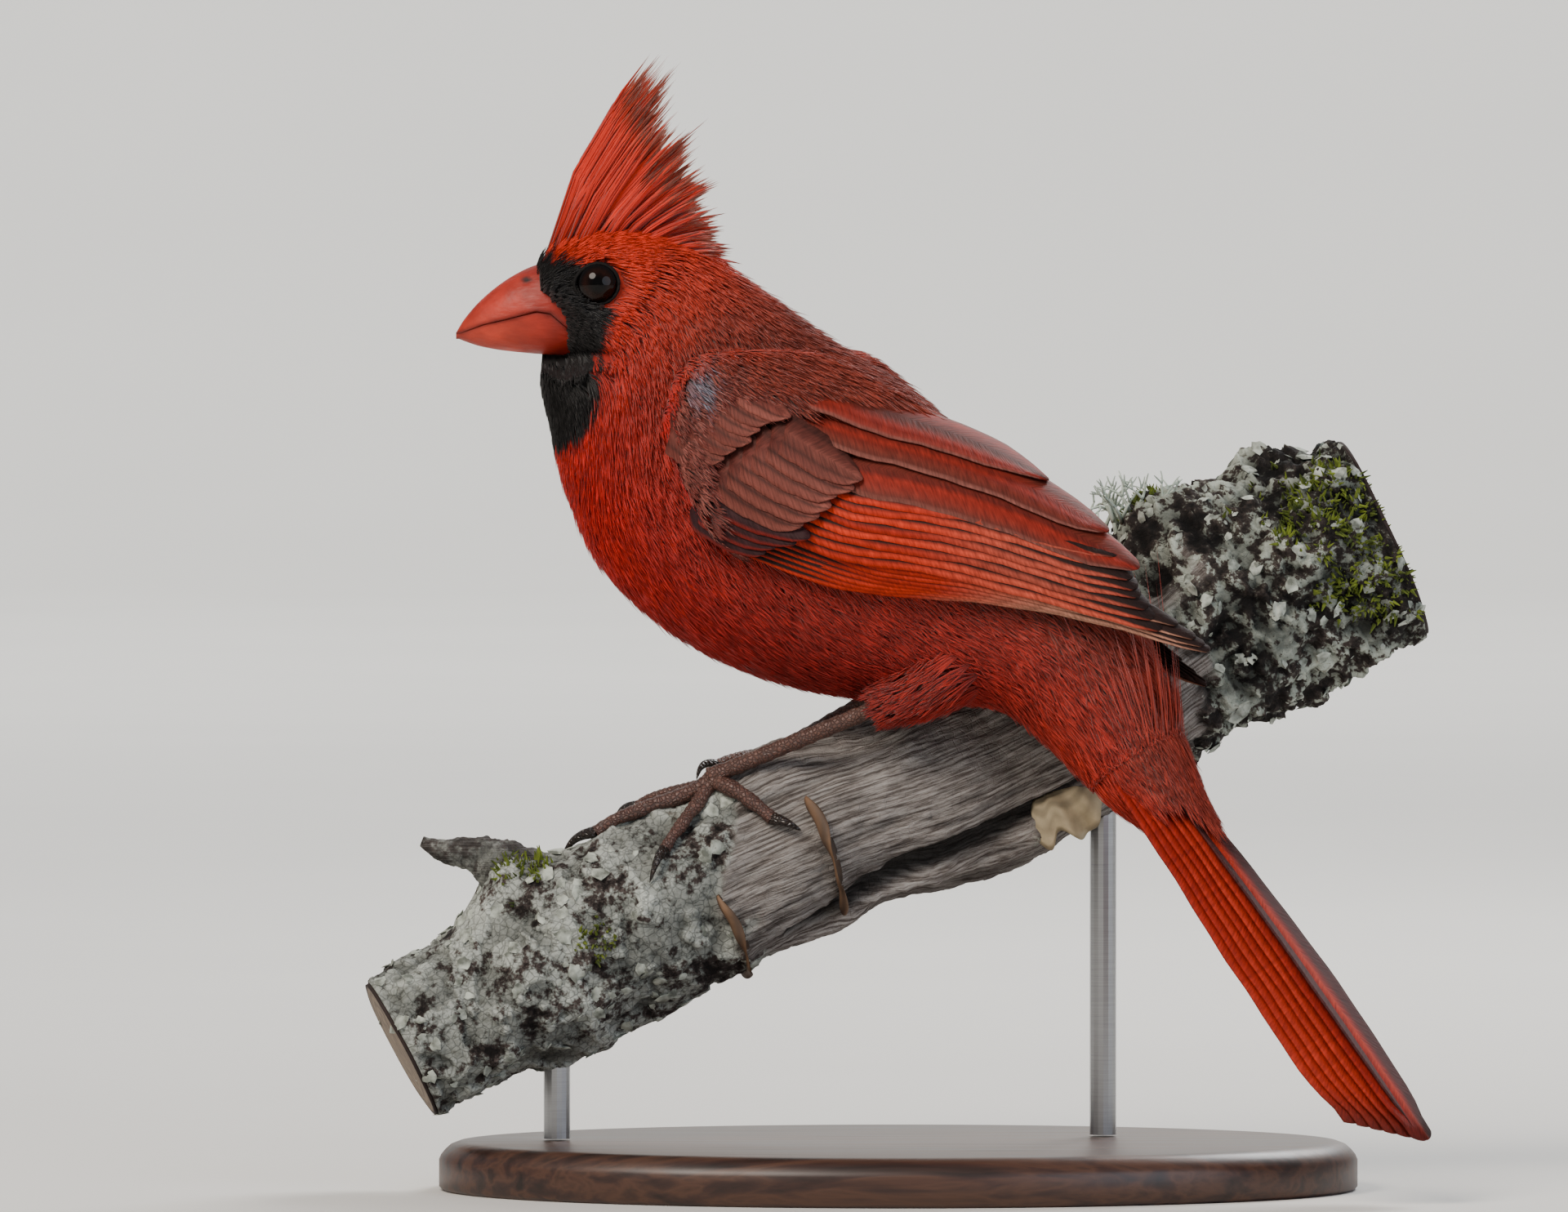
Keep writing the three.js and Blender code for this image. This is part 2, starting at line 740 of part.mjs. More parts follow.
const feathers = count(CREST.rows * CREST.columns, (n) =>
  crestFeather(Math.floor(n / CREST.columns), n % CREST.columns),
);
const cap = solid(bodyPart(0, NECK_FRONT - PART_STEP, 9)).intersect(
  solid(aboveCrown(0)),
);
const plumes = fuse(feathers).intersect(solid(aboveCrown(0)));
bird.add(piece("crest", cap.add(plumes), LOOKS.red));

const bill = solid(billWhole());
const upperBill = bill
  .intersect(solid(aboveMouth(0)))
  .subtract(solid(nostril(-1)))
  .subtract(solid(nostril(1)));
bird.add(piece("bill_upper", upperBill, LOOKS.bill));
bird.add(
  piece("bill_lower", bill.subtract(solid(aboveMouth(-GAP))), LOOKS.bill),
);

bird.add(piece("eye_left", solid(eyeBall(-1)), LOOKS.eye));
bird.add(piece("eye_right", solid(eyeBall(1)), LOOKS.eye));
const neck = bodyPart(NECK_FRONT + PART_STEP, NECK_BACK - PART_STEP, 6);
bird.add(piece("neck", solid(neck).subtract(solid(aboveCrown(-GAP))), LOOKS.red));

const torso = solid(
  bodyPart(NECK_BACK + PART_STEP, TORSO_BACK - PART_STEP, 16),
);
bird.add(piece("torso", torso.subtract(perchRoom), LOOKS.red));

for (const [name, side] of [
  ["left", -1],
  ["right", 1],
]) {
  const vanes = WING_FEATHERS.map((f) => wingFeather(side, f));
  const wing = fuse([arm(side), ...vanes])
    .subtract(bodyRoom)
    .subtract(perchRoom);
  bird.add(piece(`wing_${name}`, wing, LOOKS.wing));
}

const coverts = bodyPart(TORSO_BACK + PART_STEP, 12, 6);
const rectrices = count(12, (n) =>
  tailFeather(n % 2 ? 1 : -1, Math.floor(n / 2)),
);
bird.add(
  piece("tail", fuse([coverts, ...rectrices]).subtract(perchRoom), LOOKS.tail),
);

for (const [name, foot] of Object.entries(FEET)) {
  const toes = fuse(TOES.flatMap((t) => toe(foot, t)))
    .subtract(perchRoom);
  const joint = footJoint(foot);
  const heel = new THREE.IcosahedronGeometry(SHANK * 1.5, 1)
    .translate(joint.x, joint.y, joint.z);
  const paw = toes.add(solid(heel).subtract(perchRoom));
  const room = new THREE.IcosahedronGeometry(SHANK * 1.5 + GAP, 1)
    .translate(joint.x, joint.y, joint.z);
  const leg = solid(shank(foot))
    .subtract(bodyRoom)
    .subtract(perchRoom)
    .subtract(solid(room))
    .subtract(fuse(TOES.flatMap((t) => toe(foot, t))));
  bird.add(piece(`leg_${name}`, leg, LOOKS.leg));
  bird.add(piece(`foot_${name}`, paw, LOOKS.leg));
}

const branch = fuse([
  perchWhole(PERCH_RINGS, PERCH_SIDES),
  twig(),
  burl(1.9, 12, 7),
  burl(7.3, 20, 7.5),
  burl(8.2, -10, 6),
]).subtract(solid(split()));
stand.add(piece("perch", branch, LOOKS.bark));
stand.add(piece("stand_base", solid(base()), LOOKS.base));
ROD.stations.forEach((station, i) => {
  const shaft = solid(rod(station)).subtract(perchRoom);
  stand.add(piece(`stand_rod_${i + 1}`, shaft, LOOKS.rod));
});

const model = new THREE.Group();
model.add(bird, stand);
export default model;
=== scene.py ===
# %% [markdown]
# A life-size model of a male northern cardinal on a cut length of branch.
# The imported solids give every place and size. This lesson dresses them: one skin under a
# coat of small feathers, vanes for the wings, tail and crest, horn for the bill and claws,
# and bark with lichen for the perch.

# %% Load the frame
import math

import bpy
import numpy as np
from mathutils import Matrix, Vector, noise


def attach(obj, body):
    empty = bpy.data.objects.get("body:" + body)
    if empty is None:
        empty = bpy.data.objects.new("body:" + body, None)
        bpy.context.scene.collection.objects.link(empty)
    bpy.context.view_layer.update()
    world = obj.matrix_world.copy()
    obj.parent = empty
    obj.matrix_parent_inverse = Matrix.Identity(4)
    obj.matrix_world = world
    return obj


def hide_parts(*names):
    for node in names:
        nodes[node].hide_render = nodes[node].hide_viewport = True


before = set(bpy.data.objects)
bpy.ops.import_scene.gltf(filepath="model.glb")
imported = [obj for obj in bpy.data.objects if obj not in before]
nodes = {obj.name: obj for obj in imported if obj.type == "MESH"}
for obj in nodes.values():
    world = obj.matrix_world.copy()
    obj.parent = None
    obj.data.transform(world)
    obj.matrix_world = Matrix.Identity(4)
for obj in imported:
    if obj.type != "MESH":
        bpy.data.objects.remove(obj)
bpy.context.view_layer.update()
MM = 0.001
rng = np.random.default_rng(7)
print("solids:", len(nodes))

# %% [markdown]
# Every number below is in millimetres until a mesh is made. These few helpers do the same
# work for all pieces: a smooth curve through the rows of a table, a mesh from arrays, and
# one way to add a node to a material or a tree.

# %% Shared helpers
def smooth(t):
    t = np.clip(t, 0, 1)
    return t * t * (3 - 2 * t)


def unit(v):
    return v / np.maximum(np.linalg.norm(v, axis=-1, keepdims=True), 1e-9)


def along(table, s):
    """Rows of a table at fractional places s, on a curve through them."""
    s = np.asarray(s, float)
    last = len(table) - 1
    i = np.clip(np.floor(s).astype(int), 0, last - 1)
    t = (s - i)[..., None]
    p0, p1, p2, p3 = (table[np.clip(i + k, 0, last)] for k in (-1, 0, 1, 2))
    bend = 2 * p0 - 5 * p1 + 4 * p2 - p3
    twist = 3 * p1 - p0 - 3 * p2 + p3
    return 0.5 * (2 * p1 + (p2 - p0) * t + bend * t**2 + twist * t**3)


def linear(hex_code):
    """The linear colour of an sRGB hex code."""
    srgb = np.array([int(hex_code[i : i + 2], 16) / 255 for i in (1, 3, 5)])
    low = srgb / 12.92
    high = ((srgb + 0.055) / 1.055) ** 2.4
    return np.where(srgb <= 0.04045, low, high)


def blend(a, b, share):
    share = np.clip(np.asarray(share), 0, 1)[..., None]
    return a * (1 - share) + b * share


def mesh_piece(name, points, faces, material, tint=None, maps=None, shade_smooth=True):
    """A mesh object from points in millimetres and arrays of faces of equal length."""
    faces = [np.asarray(f) for f in faces if len(f)]
    mesh = bpy.data.meshes.new(name)
    mesh.vertices.add(len(points))
    mesh.vertices.foreach_set("co", (np.asarray(points) * MM).astype(np.float32).ravel())
    corners = np.concatenate([f.ravel() for f in faces]).astype(np.int32)
    sizes = np.concatenate([np.full(len(f), f.shape[1]) for f in faces])
    mesh.loops.add(len(corners))
    mesh.loops.foreach_set("vertex_index", corners)
    mesh.polygons.add(len(sizes))
    starts = np.concatenate([[0], np.cumsum(sizes)[:-1]]).astype(np.int32)
    mesh.polygons.foreach_set("loop_start", starts)
    mesh.update(calc_edges=True)
    mesh.polygons.foreach_set("use_smooth", np.full(len(sizes), shade_smooth))
    if tint is not None:
        colour = mesh.color_attributes.new("tint", "FLOAT_COLOR", "POINT")
        rgba = np.concatenate([tint, np.ones((len(points), 1))], axis=1)
        colour.data.foreach_set("color", rgba.astype(np.float32).ravel())
    for map_name, uv in (maps or {}).items():
        layer = mesh.uv_layers.new(name=map_name)
        layer.data.foreach_set("uv", uv[corners].astype(np.float32).ravel())
    mesh.materials.append(material)
    piece = bpy.data.objects.new(name, mesh)
    bpy.context.scene.collection.objects.link(piece)
    return piece


def grid_faces(rows, columns, wrap=False):
    """Quads over a grid of points, closed across its columns where wrap is set."""
    i, j = np.meshgrid(np.arange(rows - 1), np.arange(columns - (not wrap)), indexing="ij")
    a = i * columns + j
    b = i * columns + (j + 1) % columns
    return np.stack([a, b, b + columns, a + columns], axis=-1).reshape(-1, 4)


def tube_faces(rings, sides):
    """Quads along a tube and the two fans that close it on middle points added last."""
    wall = grid_faces(rings, sides, wrap=True)
    j = np.arange(sides)
    after = (j + 1) % sides
    end = (rings - 1) * sides
    first_middle = np.full(sides, rings * sides)
    start_fan = np.stack([first_middle, after, j], axis=-1)
    end_fan = np.stack([first_middle + 1, end + j, end + after], axis=-1)
    return wall, np.concatenate([start_fan, end_fan])


def tube_points(rings):
    """The points of rings (n, sides, 3) with the middles of the end rings added last."""
    ends = np.stack([rings[0].mean(axis=0), rings[-1].mean(axis=0)])
    return np.concatenate([rings.reshape(-1, 3), ends])


def inside_out(points, quads):
    """True where the faces of a form look towards its own middle."""
    a, b, c, d = ((points - points.mean(axis=0))[quads[:, k]] for k in range(4))
    volume = (a * np.cross(b, c)).sum() + (a * np.cross(c, d)).sum()
    return volume < 0


def add(tree, kind, inputs=None, **settings):
    """One node, its settings, and its inputs as values or as links from sockets."""
    made = tree.nodes.new(kind)
    for name, value in settings.items():
        setattr(made, name, value)
    for name, value in (inputs or {}).items():
        if isinstance(value, bpy.types.NodeSocket):
            tree.links.new(value, made.inputs[name])
        else:
            made.inputs[name].default_value = value
    return made


def rgba(hex_code):
    return (*linear(hex_code), 1.0)


def new_material(name):
    """An empty material, its tree and its principled shader."""
    made = bpy.data.materials.new(name)
    made.use_nodes = True
    shader = made.node_tree.nodes["Principled BSDF"]
    return made, made.node_tree, shader


def keep(piece, slot, *replaced):
    """Fastens a finished piece to the part and hides the solids it stands for."""
    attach(piece, "root")
    if replaced:
        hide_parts(*replaced)
    piece.data.update()
    triangles = sum(len(p.vertices) - 2 for p in piece.data.polygons)
    print(f"{piece.name}: {triangles} triangles")
    return piece


# %% [markdown]
# The body is one rounded form from the root of the bill to the tail coverts. Each row of
# the table is a slice through it. The bird looks square across the picture while its body
# is turned about the neck, so each slice is also turned by its own share.

# %% The body's form
BODY = np.array(
    [  # back x, back z, belly x, belly z, half width
        [-61.0, 151.5, -56.4, 137.6, 5.5],
        [-58.3, 156.0, -59.3, 133.6, 9.3],
        [-52.0, 158.6, -58.9, 129.8, 11.6],
        [-43.9, 159.3, -57.8, 125.6, 12.7],
        [-33.8, 156.8, -56.8, 120.0, 14.4],
        [-23.4, 149.6, -54.6, 112.5, 17.3],
        [-10.3, 141.0, -49.4, 101.9, 20.3],
        [4.5, 132.4, -36.0, 90.8, 22.0],
        [18.5, 121.2, -16.8, 83.2, 21.2],
        [31.5, 109.6, 3.4, 80.4, 17.8],
        [43.5, 98.0, 21.6, 79.6, 13.8],
        [50.2, 87.0, 30.6, 74.0, 10.8],
        [54.0, 76.4, 39.0, 66.6, 8.4],
    ]
)
BODY_TURN = 25  # degrees
NECK = np.array([-33.75, 15.0])
TURN_STATIONS = (3.5, 6.5)
# The rear edge of the bill's side, where the face begins: height, then x.
GAPE = np.array(
    [
        [136.5, -55.4],
        [143.8, -55.9],
        [145.4, -57.0],
        [147.2, -58.6],
        [148.4, -59.9],
        [151.0, -62.2],
        [153.0, -63.2],
    ]
)


def behind_bill(p):
    """How far a point lies behind the root of the bill."""
    return p[..., 0] - np.interp(p[..., 2], GAPE[:, 0], GAPE[:, 1])


def beside_bill(p, depth):
    """The face narrows to the width of the bill at its root."""
    above = np.maximum(p[..., 2] - 151.5, 0)
    below = np.maximum(137.4 - p[..., 2], 0)
    # Low on the bill its side rounds inwards, and the face follows it.
    low = np.clip((145.5 - p[..., 2]) / 7.5, 0, 1)
    beside = 5.9 * np.sqrt(1 - low**2) - depth
    limit = np.maximum(beside, 0) + 1.4 * np.maximum(behind_bill(p), 0) + 2.5 * (above + below)
    y = np.clip(p[..., 1], -limit, limit)
    return np.stack([p[..., 0], y, p[..., 2]], axis=-1)


def turned(p, degrees):
    """The turn about the neck's upright axis."""
    angle = np.radians(degrees)
    dx = p[..., 0] - NECK[0]
    x = NECK[0] + dx * np.cos(angle) + p[..., 1] * np.sin(angle)
    y = NECK[1] - dx * np.sin(angle) + p[..., 1] * np.cos(angle)
    return np.stack([x, y, p[..., 2]], axis=-1)


def on_head(p):
    return turned(p, 0.0)


def on_body(p):
    return turned(p, BODY_TURN)


def body_point(s, theta, depth):
    """A point at station s and angle theta from the back, depth below the surface."""
    back_x, back_z, belly_x, belly_z, half = np.moveaxis(along(BODY, s), -1, 0)
    middle = np.stack([(back_x + belly_x) / 2, 0 * s, (back_z + belly_z) / 2], axis=-1)
    up = np.stack([back_x, 0 * s, back_z], axis=-1) - middle
    tall = np.linalg.norm(up, axis=-1)
    up = up / tall[..., None]
    reach = ((tall - depth) * np.cos(theta))[..., None]
    across = np.stack([0 * s, (half - depth) * np.sin(theta), 0 * s], axis=-1)
    share = smooth((s - TURN_STATIONS[0]) / (TURN_STATIONS[1] - TURN_STATIONS[0]))
    straight = beside_bill(middle + reach * up + across, depth)
    return turned(straight, BODY_TURN * share)


def frame_on(place, s, theta, depth):
    """Steps along and round a surface, and its outward normal."""
    small = 0.01
    ahead = (place(s + small, theta, depth) - place(s - small, theta, depth)) / (2 * small)
    round_ = (place(s, theta + small, depth) - place(s, theta - small, depth)) / (2 * small)
    normal = unit(np.cross(round_, ahead))
    out = place(s, theta, depth - 1) - place(s, theta, depth)
    flip = np.sign((normal * out).sum(axis=-1, keepdims=True))
    return ahead, round_, normal * flip


# %% [markdown]
# The markings are one rule that skin and coat both follow. A black mask runs from the bill
# round to the front of the eye and down over the chin. The face and breast are scarlet, the
# belly a deeper red, the back a dusky brown-red, and the rump and tail coverts red again.

# %% Markings
SCARLET = linear("#c41c0b")
CHEEK = linear("#d0300f")
BREAST = linear("#b0120a")
BELLY = linear("#8c160c")
FLANK = linear("#9c2416")
NAPE = linear("#a83420")
MANTLE = linear("#762c1e")
RUMP = linear("#8a2c1e")
VENT = linear("#a82a1a")
MASK = linear("#0b0807")
# The rear edge of the mask: height, then x.
MASK_EDGE = np.array(
    [
        [124.0, -62.0],
        [125.5, -58.0],
        [127.5, -53.5],
        [130.0, -51.3],
        [132.5, -50.6],
        [135.4, -50.6],
        [137.5, -50.4],
        [141.0, -50.2],
        [144.0, -50.2],
        [146.0, -49.2],
        [148.0, -50.2],
        [151.0, -52.4],
        [152.6, -54.4],
        [153.2, -58.5],
        [154.5, -64.0],
    ]
)


def masked(p, soft=0.7):
    """How far a point lies in the black mask, 0 to 1."""
    edge = np.interp(p[..., 2], MASK_EDGE[:, 0], MASK_EDGE[:, 1])
    return smooth(0.5 + (edge - p[..., 0]) / (2 * soft))


def plumage(s, theta, p):
    """The coat's colour at a root: station, angle from the back, and the point itself."""
    side = np.abs(theta) / np.pi
    head = blend(CHEEK, SCARLET, (side - 0.35) / 0.4)
    upper = blend(NAPE, MANTLE, (s - 3.9) / 1.5)
    upper = blend(upper, RUMP, (s - 9.0) / 1.5)
    lower = blend(BREAST, BELLY, (s - 5.2) / 2.6)
    lower = blend(lower, VENT, (s - 9.2) / 1.4)
    body = blend(upper, FLANK, (side - 0.30) / 0.16)
    body = blend(body, lower, (side - 0.46) / 0.22)
    colour = blend(head, body, (s - 3.0) / 1.7)
    return blend(colour, MASK, masked(p))


# %% [markdown]
# Down and skin are one matt red hide that shows only between the feathers. Its colour is the
# plumage's, darkened as painted shade between the feathers. It lies under the coat by the
# coat's depth, so the tips of the feathers end where the solids do.

# %% Skin
COAT_DEPTH = 1.5


def hide_material():
    """Bare skin under plumage: matt; its mesh colour is darker than the feathers that cover it, as painted shade."""
    made, tree, shader = new_material("skin under plumage")
    colour = add(tree, "ShaderNodeAttribute", attribute_name="tint")
    coords = add(tree, "ShaderNodeTexCoord")
    pores = add(tree, "ShaderNodeTexNoise", {"Vector": coords.outputs["Object"], "Scale": 900.0})
    bump = add(tree, "ShaderNodeBump", {"Height": pores.outputs["Fac"], "Strength": 0.3, "Distance": 0.0003})
    tree.links.new(colour.outputs["Color"], shader.inputs["Base Color"])
    tree.links.new(bump.outputs["Normal"], shader.inputs["Normal"])
    shader.inputs["Roughness"].default_value = 0.9
    return made


def body_skin():
    rings, sides = 150, 72
    s = np.linspace(0, 12, rings)[:, None] + np.zeros((1, sides))
    theta = np.linspace(-np.pi, np.pi, sides, endpoint=False)[None, :] + 0 * s
    rows = body_point(s, theta, COAT_DEPTH)
    # The plumage's colour at 0.55 is painted shade for the gaps between the feathers.
    tint = 0.55 * plumage(s, theta, rows)
    tint = np.concatenate([tint.reshape(-1, 3), tint[0, :1], tint[-1, :1]])
    walls, fans = tube_faces(rings, sides)
    points = tube_points(rows)
    if inside_out(points, walls):
        walls, fans = walls[:, ::-1], fans[:, ::-1]
    unwrap = np.stack([0.04 + 0.92 * (theta / (2 * np.pi) + 0.5), 0.04 + 0.92 * s / 12], axis=-1)
    unwrap = np.concatenate([unwrap.reshape(-1, 2), [[0.01, 0.01], [0.02, 0.99]]])
    skin = mesh_piece("skin", points, [walls, fans], hide_material(), tint, {"OFBake": unwrap})
    return keep(skin, "red_plumage", "head", "neck", "torso")


skin = body_skin()

# %% [markdown]
# A small body feather is a fan of soft barbs from one root. Thousands of them overlap like
# tiles and follow the lie of the plumage from bill to tail. Each barb is a thin closed
# sliver, and all barbs of a region are joined into one mesh made from arrays, because the
# export keeps no hair and no instances.

# %% Barbs
BARB_STEPS = np.array([0.0, 0.45, 0.8])
BARB_WIDTH = np.array([0.7, 1.0, 0.62])
PATCH = 0.003  # side of a barb's patch on the bake map


def barb_mesh(rows, tips, normals, width, tint_rows, tint_tips, patch_at):
    """Slivers from centre rows (n, 3, 3), tips (n, 3), normals (n, 3, 3) and widths (n,)."""
    n = len(rows)
    path = np.concatenate([rows, tips[:, None]], axis=1)
    ahead = unit(path[:, 1:] - path[:, :-1])
    side = unit(np.cross(ahead, normals))
    half = 0.5 * width[:, None, None] * BARB_WIDTH[None, :, None]
    left = rows - half * side
    right = rows + half * side
    crown = rows + 0.7 * half * normals
    ring = np.stack([left, right, crown], axis=2).reshape(n, 9, 3)
    points = np.concatenate([ring, tips[:, None]], axis=1)
    base = (np.arange(n) * 10)[:, None, None]
    quads = [[a + 3, b + 3, b, a] for r in (0, 3) for a, b in ((r, r + 1), (r + 1, r + 2), (r + 2, r))]
    quads = (np.array(quads)[None] + base).reshape(-1, 4)
    ends = np.array([[9, 7, 6], [9, 8, 7], [9, 6, 8], [0, 1, 2]])
    ends = (ends[None] + base).reshape(-1, 3)
    tint = np.repeat(tint_rows, 3, axis=1)
    tint = np.concatenate([tint, tint_tips[:, None]], axis=1).reshape(-1, 3)
    across = np.array([0, 1, 0.5] * 3 + [0.5])
    length = np.array([0, 0, 0, 0.45, 0.45, 0.45, 0.8, 0.8, 0.8, 1.0])
    uv = patch_at[:, None] + PATCH * np.stack([across, length], axis=-1)[None]
    return points.reshape(-1, 3), quads, ends, tint, uv.reshape(-1, 2)


def coat_material():
    """Contour feathers: matt barbs with a soft silky gloss along them."""
    made, tree, shader = new_material("contour feather barbs")
    colour = add(tree, "ShaderNodeAttribute", attribute_name="tint")
    coords = add(tree, "ShaderNodeTexCoord")
    mottle = add(
        tree, "ShaderNodeTexNoise", {"Vector": coords.outputs["Object"], "Scale": 260.0, "Detail": 4.0}
    )
    shade = add(
        tree, "ShaderNodeMapRange", {"Value": mottle.outputs["Fac"], "To Min": 0.72, "To Max": 1.3}
    )
    mixed = add(
        tree,
        "ShaderNodeMix",
        {0: 1.0, 6: colour.outputs["Color"], 7: shade.outputs["Result"]},
        data_type="RGBA",
        blend_type="MULTIPLY",
    )
    tree.links.new(mixed.outputs[2], shader.inputs["Base Color"])
    shader.inputs["Roughness"].default_value = 0.62
    shader.inputs["Specular IOR Level"].default_value = 0.28
    shader.inputs["Sheen Weight"].default_value = 0.12
    shader.inputs["Sheen Roughness"].default_value = 0.4
    return made


COAT = coat_material()

# %% [markdown]
# Feathers stand in staggered rows. Rows are close and feathers short on the face, wider
# apart and longer on the body. Each root has a direction to lie in, and its barbs bend
# along the curved body, rising from the skin so that their tips cover the next roots.

# %% Roots and lie of the coat
# Station, feather length, distance between roots, barbs in a feather, barb width
COAT_SIZES = np.array(
    [
        [0.0, 1.5, 0.75, 5, 0.22],
        [1.0, 2.2, 0.85, 6, 0.25],
        [2.0, 3.2, 1.05, 8, 0.27],
        [3.5, 4.8, 1.35, 10, 0.30],
        [5.0, 7.5, 1.85, 14, 0.34],
        [7.0, 9.5, 2.2, 17, 0.38],
        [10.0, 9.5, 2.2, 17, 0.38],
        [12.0, 12.0, 2.2, 17, 0.40],
    ]
)


def coat_sizes(s):
    return [np.interp(s, COAT_SIZES[:, 0], COAT_SIZES[:, k]) for k in range(1, 5)]


def coat_roots(first, last):
    """Stations and angles of roots in staggered rows between two stations."""
    stations, angles = [], []
    s = first
    row = 0
    while s < last:
        _, pitch, _, _ = coat_sizes(s)
        ring = body_point(np.full(48, s), np.linspace(0, 2 * np.pi, 48), COAT_DEPTH)
        girth = np.linalg.norm(np.diff(ring, axis=0), axis=1).sum()
        number = int(girth / pitch)
        theta = (np.arange(number) + 0.5 * (row % 2)) / number * 2 * np.pi - np.pi
        stations.append(np.full(number, s))
        angles.append(theta)
        step = body_point(np.array([s, s + 0.1]), np.array([2.0, 2.0]), 0.0)
        s += 0.1 * pitch / np.linalg.norm(step[1] - step[0])
        row += 1
    s, theta = np.concatenate(stations), np.concatenate(angles)
    s = s + rng.uniform(-0.35, 0.35, len(s)) * 0.9 * coat_sizes(s)[1] / 12
    theta = theta + rng.uniform(-0.4, 0.4, len(s)) * coat_sizes(s)[1] / 18
    return s, theta


class Feathers:
    """Small feathers of one region: their roots, sizes, directions and colours."""

    def __init__(self, place, s, theta, length, barbs, width, colour, unwrap):
        self.place, self.s, self.theta = place, s, theta
        self.length, self.barbs, self.width = length, np.round(barbs), width
        self.colour, self.unwrap = colour, unwrap
        self.lie = np.zeros(len(s))
        self.tip_depth = np.full(len(s), 0.12)
        self.ruffle = 0.10 + 0.02 * length
        self.fan = 0.30

    def barb_places(self):
        """Which feather each barb belongs to, and its place across it, -1 to 1."""
        place = np.arange(int(self.barbs.max()))[None, :]
        f, b = np.nonzero(place < self.barbs[:, None])
        across = 2 * (b + 0.5) / self.barbs[f] - 1
        return f, across + rng.uniform(-0.08, 0.08, len(f))

    def barbs_mesh(self):
        f, b = self.barb_places()
        s, theta, length = self.s[f], self.theta[f], self.length[f]
        reach = length * (1 - 0.22 * b**2) * rng.uniform(0.78, 1.1, len(f))
        depth_at_root = np.full(len(f), COAT_DEPTH)
        ahead, round_, _ = frame_on(self.place, s, theta, depth_at_root)
        mm_s = np.linalg.norm(ahead, axis=-1)[:, None]
        mm_t = np.linalg.norm(round_, axis=-1)[:, None]
        steps = np.append(BARB_STEPS, 1.0)[None, :]
        out = (1 - (1 - steps) ** 2) * (self.fan * length * b)[:, None]
        turn = (self.lie[f] + 0.10 * rng.normal(size=len(f)))[:, None]
        forward = reach[:, None] * steps * np.cos(turn) - out * np.sin(turn)
        sideways = reach[:, None] * steps * np.sin(turn) + out * np.cos(turn)
        at_s = s[:, None] + forward / mm_s
        at_t = theta[:, None] + sideways / mm_t
        tip_depth = self.tip_depth[f] + self.ruffle[f] * rng.normal(size=len(f))
        root_depth = COAT_DEPTH + 0.2
        depth = root_depth - (root_depth - tip_depth[:, None]) * steps**0.8
        centres = self.place(at_s, at_t, depth)
        _, _, normals = frame_on(self.place, at_s[:, :3], at_t[:, :3], depth[:, :3])
        colour = (self.colour * rng.uniform(0.8, 1.2, (len(self.s), 1)))[f]
        colour = colour * rng.uniform(0.85, 1.15, (len(f), 1))
        # Each barb runs from 0.35 of its colour at the root to 1.15 at the tip: duskier feather bases, and painted
        # shade deep in the coat where the roots lie under other feathers.
        tint = np.stack([colour * tone for tone in (0.35, 0.8, 1.05)], axis=1)
        return barb_mesh(
            centres[:, :3], centres[:, 3], normals, self.width[f], tint, colour * 1.15, self.unwrap[f]
        )

    def piece(self, name):
        points, quads, ends, tint, uv = self.barbs_mesh()
        return keep(mesh_piece(name, points, [quads, ends], COAT, tint, {"OFBake": uv}), "red_plumage")


EYE = np.array([-49.7, 9.6, 149.7])
EYE_RADIUS = 3.7
EYE_OPENING = 3.4


def room_at_eye(p, length):
    """The share of its length that a feather may keep in front of the eye."""
    high = np.clip(p[:, 2] - EYE[2], -EYE_OPENING, EYE_OPENING)
    front_edge = EYE[0] - np.sqrt(EYE_OPENING**2 - high**2)
    gap = front_edge - p[:, 0]
    level = np.abs(p[:, 2] - EYE[2]) < EYE_OPENING + 0.4
    ahead = level & (p[:, 0] < EYE[0])
    return np.where(ahead, np.clip((gap + 0.2) / length, 0.3, 1), 1)


def clear_of_face(p):
    """True where a root is clear of the eyes and of the bill."""
    clear_eye = np.hypot(p[:, 0] - EYE[0], p[:, 2] - EYE[2]) > EYE_OPENING + 0.1
    on_bill = (behind_bill(p) < 0.1) & (p[:, 2] > 136.6) & (p[:, 2] < 151.2)
    return clear_eye & ~on_bill


def coat_piece(name, first, last):
    """One region of the body's feathers, joined."""
    s, theta = coat_roots(first, last)
    p = body_point(s, theta, np.full(len(s), COAT_DEPTH))
    clear = clear_of_face(p)
    s, theta, p = s[clear], theta[clear], p[clear]
    length, _, barbs, width = coat_sizes(s)
    length = length * room_at_eye(p, length)
    spot = np.stack([0.04 + 0.9 * (theta / (2 * np.pi) + 0.5), 0.04 + 0.9 * s / 12], axis=-1)
    coat = Feathers(body_point, s, theta, length, barbs, width, plumage(s, theta, p), spot)
    coat.lie = 0.28 * np.sin(theta) * smooth((s - 3) / 3) * (1 - smooth((s - 8.5) / 2))
    return coat.piece(name)


COAT_PARTS = {
    "coat_face": (-0.4, 2.3),
    "coat_head": (2.3, 4.2),
    "coat_neck": (4.2, 5.8),
    "coat_breast": (5.8, 6.6),
    "coat_belly": (6.6, 7.4),
    "coat_flank": (7.4, 8.3),
    "coat_vent": (8.3, 9.2),
    "coat_rump": (9.2, 12.0),
}
for part, (first, last) in COAT_PARTS.items():
    coat_piece(part, first, last)

# %% [markdown]
# A vane is the flat blade of one large feather. Every vane here is a thin closed sheet over
# a small grid: columns run across it and rows from root to tip. A raised line along the
# middle is the shaft. All vanes of a wing or of the tail are joined from arrays.

# %% Vanes
VANE_ROWS = 20
VANE_ACROSS = 13
ACROSS = np.linspace(-1, 1, VANE_ACROSS)
VANE_THICK = 0.28


